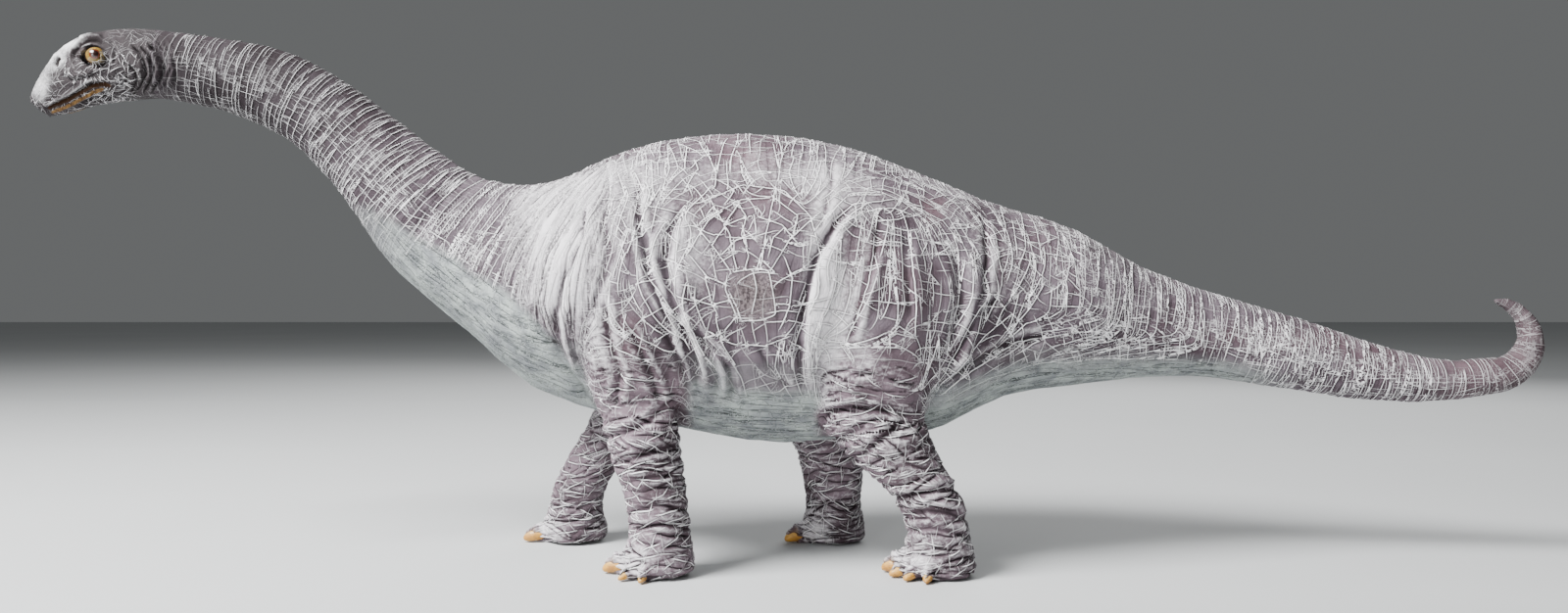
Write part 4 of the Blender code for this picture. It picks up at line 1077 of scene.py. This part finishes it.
def skin_piece(name, node, number, finish):
    """One moulded piece of the skin, closed where it meets the next one, standing for its solid."""
    used, index = np.unique(faces[owners == number], return_inverse=True)
    own = index.reshape(-1, 4)
    places, outward = shaped[used], shaped_normals[used]
    walls, lids, caps, cap_normals = [], [], [], []
    for path in rims(own):
        middle = places[path].mean(axis=0)
        inward = unit(places.mean(axis=0) - middle)
        start = len(places) + len(caps)
        hub = start + len(path)
        caps += [*(places[path] - unit(outward[path]) * TURNED_IN), middle + inward * LID_HOLLOW]
        cap_normals += [-inward] * (len(path) + 1)
        for k, (a, b) in enumerate(zip(path, path[1:] + path[:1])):
            c, d = start + (k + 1) % len(path), start + k
            walls.append((a, b, c, d))
            lids.append((d, c, hub))
    mesh = mesh_from(name, np.vstack([places, caps]) * MM, own, np.array(walls), np.array(lids))
    extra = FACE_MARKS if number == HEAD else FOOT_MARKS if number >= FIRST_LEG else {}
    for mark, values in {**MARKS, **extra, **FLOW}.items():
        put_mark(mesh, mark, np.concatenate([values[used], np.zeros((len(caps), *values.shape[1:]))]))
    piece = placed(name, mesh, finish)
    mesh.normals_split_custom_set_from_vertices(np.vstack([outward, cap_normals]).tolist())
    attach(piece, "root")
    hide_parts(node)
    return piece


# Finishes

class Paint:
    """What one socket puts out; sums on it become Math nodes."""

    def __init__(self, finish, socket):
        self.finish, self.socket = finish, socket

    def sum(self, operation, a, b):
        return self.finish.node("Math", {"operation": operation}, _0=a, _1=b)

    def __add__(self, other):
        return self.sum("ADD", self, other)

    def __radd__(self, other):
        return self.sum("ADD", other, self)

    def __sub__(self, other):
        return self.sum("SUBTRACT", self, other)

    def __rsub__(self, other):
        return self.sum("SUBTRACT", other, self)

    def __mul__(self, other):
        return self.sum("MULTIPLY", self, other)

    def __rmul__(self, other):
        return self.sum("MULTIPLY", other, self)

    def __truediv__(self, other):
        return self.sum("DIVIDE", self, other)


def srgb(code):
    """A paint colour from its six-figure code, as the shader wants it."""
    parts = [int(code[k:k + 2], 16) / 255 for k in (0, 2, 4)]
    return tuple(p / 12.92 if p <= 0.04045 else ((p + 0.055) / 1.055) ** 2.4 for p in parts)


class Finish:
    """One finish being mixed from nodes."""

    def __init__(self, name):
        self.material = bpy.data.materials.new(name)
        self.material.use_nodes = True
        self.tree = self.material.node_tree
        self.tree.nodes.clear()

    def node(self, kind, settings=None, out=0, **sockets):
        """A node of this type: its settings first, then what its sockets hold or are joined to."""
        made = self.tree.nodes.new("ShaderNode" + kind)
        for key, value in (settings or {}).items():
            setattr(made, key, value)
        for key, value in sockets.items():
            socket = made.inputs[int(key[1:]) if key[1:].isdigit() else key.replace("_", " ")]
            if isinstance(value, Paint):
                self.tree.links.new(value.socket, socket)
            elif isinstance(value, str):
                socket.default_value = (*srgb(value), 1.0)
            else:
                socket.default_value = value
        return Paint(self, made.outputs[out]) if len(made.outputs) else None

    def mark(self, name, out=2):
        return self.node("Attribute", {"attribute_name": name}, out=out)

    def grain(self, size, detail=3.0, rough=0.55, vector=None):
        """Noise between about 0 and 1 with spots of this size in metres."""
        vector = vector or self.node("TexCoord", out=3)
        return self.node("TexNoise", Vector=vector, Scale=1.0 / size, Detail=detail, Roughness=rough)

    def strokes(self, scale, vector=None):
        """Noise drawn out along one way, by the three scales."""
        vector = vector or self.node("TexCoord", out=3)
        return self.grain(1.0, 3.0, 0.6, self.node("Mapping", Vector=vector, Scale=scale))

    def between(self, value, low, high):
        """The value eased from 0 at one end of a range to 1 at the other, and held there."""
        return self.node("MapRange", {"interpolation_type": "SMOOTHSTEP"}, Value=value, _1=low, _2=high)

    def mix(self, share, a, b):
        """From one colour to the other by this share, which is held between 0 and 1."""
        return self.node("Mix", {"data_type": "RGBA", "clamp_factor": True}, out=2, _0=share, _6=a, _7=b)

    def held(self, value):
        return self.node("Clamp", Value=value)

    def finish(self, colour, roughness, height, relief, **constants):
        """The surface itself, with its relief, and the end of the tree."""
        bump = self.node("Bump", Height=height, Strength=1.0, Distance=relief)
        sockets = {"Base_Color": colour, "Roughness": roughness, "Normal": bump, **constants}
        self.node("OutputMaterial", Surface=self.node("BsdfPrincipled", **sockets))
        return self.material


# PAINTED_SHADE is painted shade, laid in the hollows and beside the raised lines
GROUND, DEEP, PAINTED_SHADE, ROSY, LIGHT = "6c626a", "463c43", "151113", "6b545b", "e2dee2"


def painted_hide(name, part, ground, deep, light, thin):
    """Dark soft-vinyl ground, brushed paler on all that stands out, with near-white sculpted lines, and
    painted shade in the hollows, in the grooves and beside the lines.
    """
    f = Finish(name)
    hollow, brush_and_shade, blush, pale = f.mark("hollow"), f.mark("brush_and_shade"), f.mark("blush"), f.mark("pale")
    neck, tip, limb, flow = f.mark("neck"), f.mark("tip"), f.mark("limb"), f.mark("flow", out=1)
    broad, middling, fine = f.grain(0.021, 4.0), f.grain(0.0052, 4.0), f.grain(0.0011, 4.0, 0.65)
    speck = f.grain(0.00042, 2.0, 0.6)
    hatch, strands = f.strokes((1.1, 0.45, 0.45), flow), f.strokes((0.16, 1.9, 1.9), flow)
    creases = f.strokes((320.0, 320.0, 900.0))

    def line(which, half):
        """A sculpted line and the painted shadow beside it."""
        side, gap, power = f.mark(which + "_side"), f.mark(which + "_gap"), f.mark(which + "_power")
        ragged = half * (0.75 + 0.5 * middling)
        across = f.node("Math", {"operation": "ABSOLUTE"}, _0=side)
        near = f.between(gap, 1.2, 0.8)
        return f.between(across / ragged, 1.2, 0.8) * near * power, f.between(gap, 0.85, 0.3) * power

    def either(a, b):
        return f.node("Math", {"operation": "MAXIMUM"}, _0=a, _1=b)

    slim = thin - 0.07 * neck
    (net, net_painted_shadow), (web, web_painted_shadow) = line("net", slim), line("web", slim * 0.9)
    (cut, _), (scratch, _) = line("cut", 0.24 - 0.02 * limb), line("scratch", 0.15)
    lines, painted_shadow = either(net, web), either(net_painted_shadow, web_painted_shadow)

    skin = f.mix(f.between(broad + 0.5 * middling, 0.55, 0.95), ground, deep)
    skin = f.mix(f.between(blush + 0.35 * middling, 0.15, 1.1) * 0.7, skin, ROSY)
    skin = f.mix(neck * 0.85, skin, "1c1819")
    skin = f.mix(limb * 0.8, skin, f.mix(f.between(broad, 0.4, 0.62), "76666f", "463a40"))
    # Pale brushing on what stands out and none in the hollows: partly dry-brushing, partly painted light and
    # shade on the relief
    cover = brush_and_shade * 0.75 + hatch * 0.18 + fine * 0.8 + creases * limb
    cover = cover - hollow * 0.9 - 0.91 - neck * 0.6 - limb * 0.5
    skin = f.mix(f.between(cover, 0.0, 0.85) * 0.95, skin, light)
    # Painted shadow: a dark band beside each raised line
    skin = f.mix(painted_shadow * (0.2 + 0.9 * fine), skin, PAINTED_SHADE)
    # Painted shade in the hollows of the skin
    skin = f.mix(f.between(hollow, 0.1, 0.9) * 0.6, skin, PAINTED_SHADE)
    # Painted shade in the cut grooves and creases
    skin = f.mix(cut * 0.75, skin, "161113")
    skin = f.mix(lines * (0.6 + 0.8 * fine) * (1.3 - 0.5 * neck), skin, "f6f4f6")
    if part == "face":
        ticks = f.between(f.grain(0.0007, 2.0, 0.6), 0.42, 0.6)
        # Painted shade in the deep folds behind the jaw and in the groove over the eye
        skin = f.mix(f.mark("furrow") * 0.75, skin, "120e0f")
        skin = f.mix(f.mark("brow") * 0.55, skin, "241f20")
        skin = f.mix(f.mark("gape") * (0.75 + 0.4 * fine), skin, f.mix(middling, "24170f", "4c3320"))
        rubbed = f.mix(f.between(fine, 0.35, 0.65), "4a3219", "86663a")
        skin = f.mix(f.mark("lip") * (0.7 + 0.5 * fine), skin, rubbed)
        skin = f.mix(f.mark("pit") * 0.9, skin, "2b2424")
        skin = f.mix(f.mark("lid") * 0.8, skin, f.mix(ticks, "1a140c", "776638"))
    if part == "foot":
        skin = f.mix(f.mark("quick") * 0.75, skin, f.mix(middling, "4a3426", "8a6848"))
    if part == "body":
        speckle = f.mix(f.between(f.grain(0.0008, 2.0, 0.7), 0.4, 0.6), "3f393a", "776d6e")
        skin = f.mix(f.mark("patch") * (0.85 - lines * 0.7), skin, speckle)
        below = f.mix(f.between(middling + 0.5 * broad, 0.5, 1.0), "a5aca9", "7c8083")
        below = f.mix(f.between(strands, 0.55, 0.8) * 0.2, below, "6f7674")
        below = f.mix(scratch * 0.9, below, "2c302e")
        below = f.mix(f.between(fine, 0.58, 0.78) * 0.35, below, "dde4df")
        below = f.mix(lines * 0.5, below, "e4e8e4")
        # Painted shade in the hollows of the belly
        below = f.mix(f.between(hollow, 0.1, 0.9) * 0.5, below, "5e615f")
        skin = f.mix(pale, skin, below)
        skin = f.mix(tip * 0.62, skin, f.mix(f.between(middling, 0.4, 0.7), "5b4e51", "352c2f"))
    rough = 0.6 + 0.22 * fine - 0.10 * lines + 0.08 * f.held(hollow)
    relief = lines - cut * 0.9 - scratch * 0.9 + 0.15 * hatch
    relief = relief + 0.6 * fine + 0.25 * speck + 0.9 * creases * limb
    return f.finish(skin, rough, relief, 0.0003, Specular_IOR_Level=0.1)


body_paint = painted_hide("painted hide", "body", GROUND, DEEP, LIGHT, 0.15)
face_paint = painted_hide("painted hide of the face", "face", "3c3739", "221e20", "cfcfd0", 0.08)
leg_paint = painted_hide("painted hide of the legs", "foot", GROUND, DEEP, LIGHT, 0.15)

for number, node in enumerate(SKIN_NODES):
    on_leg = number >= FIRST_LEG
    paint = leg_paint if on_leg else face_paint if number == HEAD else body_paint
    piece = skin_piece(node.replace("_shell", "") + "_skin", node, number, paint)


# Eyes, claws and wires

def turned_shell(rings, segments):
    """Faces for rings of points between two end points."""
    last = 1 + rings * segments
    quads, tips = [], []
    for k in range(segments):
        n = (k + 1) % segments
        tips += [(0, 1 + n, 1 + k), (last, last - segments + k, last - segments + n)]
        for r in range(rings - 1):
            a, b = 1 + r * segments, 1 + (r + 1) * segments
            quads.append((a + k, a + n, b + n, b + k))
    return quads, tips


def closed_mesh(name, places, quads, tips):
    mesh = bpy.data.meshes.new(name)
    mesh.from_pydata((np.asarray(places) * MM).tolist(), [], quads + tips)
    return mesh


def eye_paint():
    """Amber under a clear gloss: dark pupil, gold iris with spokes, dark rim."""
    f = Finish("amber eye")
    gaze, rays = f.mark("gaze"), f.strokes((5.0, 5.0, 0.8), f.mark("spoke", out=1))
    fleck = f.grain(0.0004, 3.0, 0.6)
    colour = f.mix(f.between(rays, 0.35, 0.68), "57461a", "8f7a3a")
    colour = f.mix(f.between(gaze + 0.12 * rays, 0.40, 0.56), colour, "7a5e2a")
    colour = f.mix(f.between(gaze + 0.06 * fleck, 0.37, 0.32), colour, "5a2510")
    colour = f.mix(f.between(gaze + 0.04 * fleck, 0.26, 0.2), colour, "1c0805")
    colour = f.mix(f.between(gaze, 0.60, 0.68), colour, "2c1b10")
    return f.finish(colour, 0.16 + 0.1 * fleck, rays, 0.00003, Coat_Weight=0.6, Coat_Roughness=0.05)


# The bead is turned about its look to this far, and the gaze mark is 1 at the second turn
BEAD_WRAP, GAZE_TURN = math.radians(118.0), math.radians(100.0)
BEAD_RINGS, BEAD_SEGMENTS = 22, 40


def eye_bead(name, node):
    """The bead: its clear front bulges a little over the iris, and its back is pressed into the head."""
    low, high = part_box(node)
    middle = np.array((low + high) / 2) / MM + EYE_SHIFT
    radius = (high.x - low.x) / 2 / MM
    centre = np.array([np.interp(middle[0], SPINE[:TURN_BACK, 0], SPINE[:TURN_BACK, k]) for k in range(3)])
    look = unit(unit(middle - centre) * np.array([0.5, 1.0, 0.45]) + np.array([0.38, 0.0, 0.0]))
    side = unit(np.cross(look, UPWARD))
    up = np.cross(side, look)
    middle = middle + look * 0.3
    places, gaze, spoke = [], [], []
    for r in range(BEAD_RINGS + 2):
        turn = BEAD_WRAP * r / (BEAD_RINGS + 1)
        last = r == BEAD_RINGS + 1
        reach = radius * (0.9 if last else 1 + 0.07 * math.exp(-((turn / 0.5) ** 2)))
        for k in range(1 if r == 0 or last else BEAD_SEGMENTS):
            a = 2 * math.pi * k / BEAD_SEGMENTS
            across = (side * math.cos(a) + up * math.sin(a)) * (0.0 if last else math.sin(turn))
            places.append(middle + reach * (look * math.cos(turn) + across))
            gaze.append(turn / GAZE_TURN)
            spoke.append((math.cos(a), math.sin(a), turn))
    mesh = closed_mesh(name, places, *turned_shell(BEAD_RINGS, BEAD_SEGMENTS))
    put_mark(mesh, "gaze", gaze)
    put_mark(mesh, "spoke", spoke)
    bead = placed(name, mesh, eye_finish)
    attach(bead, "root")
    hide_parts(node)


eye_finish = eye_paint()
eye_bead("left_eye_bead", "left_eye")
eye_bead("right_eye_bead", "right_eye")


def claw_paint():
    """Tan claws, darker and browner at the root, with a painted highlight along the top."""
    f = Finish("tan claws")
    length, top = f.mark("length"), f.mark("top")
    fine, cloud = f.grain(0.0006, 3.0, 0.6), f.grain(0.003, 3.0)
    streak = f.strokes((0.5, 7.0, 7.0), f.mark("fibre", out=1))
    colour = f.mix(f.between(cloud + 0.4 * streak, 0.5, 0.9), "cf9838", "a87430")
    # Painted highlight along the top of each claw
    colour = f.mix(f.between(top, 0.1, 1.0) * (0.35 + 0.5 * fine), colour, "e8c478")
    colour = f.mix(f.between(length + 0.25 * cloud, 0.45, 0.2), colour, "5f3d24")
    colour = f.mix(f.between(streak, 0.6, 0.75) * 0.4, colour, "6e4727")
    return f.finish(colour, 0.36 + 0.2 * fine, streak + 0.4 * fine, 0.00018, Coat_Weight=0.25)


CLAW_RINGS, CLAW_SEGMENTS = 18, 28


def claw_set(name, node):
    """The claws of one foot: blunt, arched over the top, flat below, with faint growth rings."""
    places, quads, tips, length, top, fibre = [], [], [], [], [], []
    for middle, turned, half in claws_of(node):
        start = len(places)
        for r in range(CLAW_RINGS + 2):
            turn = math.pi * r / (CLAW_RINGS + 1)
            forward = math.cos(turn)
            reach = math.sin(turn) ** 0.8 * (1 + 0.012 * math.sin(24 * turn))
            reach *= 1.0 - 0.14 * smooth(0.0, 1.0, np.float64(forward))
            for k in range(1 if r in (0, CLAW_RINGS + 1) else CLAW_SEGMENTS):
                a = 2 * math.pi * k / CLAW_SEGMENTS
                high = math.sin(a)
                ridged = reach * (1 + 0.02 * math.cos(5 * a) * max(high, 0.0))
                local = np.array([-forward * 1.08, math.cos(a) * ridged * 1.07, high * ridged * 1.07])
                local[2] = max(local[2], -0.9) + 0.1 * (1 - forward**2) - 0.22 * max(forward, 0.0) ** 2
                places.append(middle + turned @ (local * half))
                length.append((forward + 1) / 2)
                top.append(max(high, 0.0) * math.sin(turn))
                fibre.append(tuple(local))
        for group, shell in zip((quads, tips), turned_shell(CLAW_RINGS, CLAW_SEGMENTS)):
            group += [tuple(v + start for v in face) for face in shell]
    mesh = closed_mesh(name, places, quads, tips)
    put_mark(mesh, "length", length)
    put_mark(mesh, "top", top)
    put_mark(mesh, "fibre", fibre)
    claws = placed(name, mesh, claw_finish)
    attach(claws, "root")


claw_finish = claw_paint()
for node in LEG_NODES:
    claw_set(node.replace("_leg", "_claws"), node)


def wire_paint():
    f = Finish("drawn steel")
    drawn = f.strokes((120.0, 2600.0, 2600.0))
    colour = f.mix(f.grain(0.006, 3.0), "8d8f92", "a9abad")
    return f.finish(colour, 0.28 + 0.25 * drawn, drawn, 0.00002, Metallic=1.0)


wire_finish = wire_paint()
for node in ("neck_wire", "tail_wire"):
    for slot in frame["nodes"][node].material_slots:
        slot.material = wire_finish


# The board, the lights and the camera

def board_paint():
    f = Finish("pale board")
    fine = f.grain(0.004, 2.0)
    return f.finish(f.mix(f.grain(0.35, 3.0), "b8babb", "c3c5c5"), 0.78 + 0.1 * fine, fine, 0.00005)


# In metres: half the board's width, and how far it lies below the soles
BOARD_HALF, BOARD_GAP = 6.0, 0.0002
corners = np.array([(-1, -1, 0), (1, -1, 0), (1, 1, 0), (-1, 1, 0)]) * BOARD_HALF
corners = corners + UPWARD * (CAD_LOW.z - BOARD_GAP)
floor = placed("board", mesh_from("board", corners, np.array([[0, 1, 2, 3]])), board_paint())


def soft_light(name, place, aim, size, power):
    lamp = bpy.data.lights.new(name, "AREA")
    lamp.shape, lamp.size, lamp.size_y, lamp.energy = "RECTANGLE", size[0], size[1], power
    obj = bpy.data.objects.new(name, lamp)
    obj.location = place
    obj.rotation_euler = (Vector(aim) - Vector(place)).to_track_quat("-Z", "Y").to_euler()
    obj.visible_camera = False
    bpy.context.scene.collection.objects.link(obj)


soft_light("light_above", (-0.62, -0.42, 0.80), (0.0, 0.0, 0.08), (0.45, 0.35), 42.0)
soft_light("light_front", (-0.50, -1.00, 0.25), (0.0, 0.0, 0.09), (0.5, 0.4), 5.0)
soft_light("light_behind", (0.35, 0.9, 0.6), (0.0, 0.0, 0.09), (0.9, 0.5), 7.0)

world = bpy.data.worlds.new("studio")
world.use_nodes = True
backdrop = world.node_tree.nodes["Background"].inputs
backdrop["Color"].default_value = (*srgb("cfd2d3"), 1.0)
backdrop["Strength"].default_value = 0.22
bpy.context.scene.world = world

view = bpy.data.cameras.new("camera")
view.sensor_width, view.lens = SENSOR, LENS
view.clip_start, view.clip_end = 0.01, 50.0
camera = bpy.data.objects.new("camera", view)
camera.location = (CAMERA_X * MM, -CAMERA_DISTANCE * MM, CAMERA_HEIGHT * MM)
camera.rotation_euler = (math.pi / 2, 0.0, 0.0)
bpy.context.scene.collection.objects.link(camera)
bpy.context.scene.camera = camera
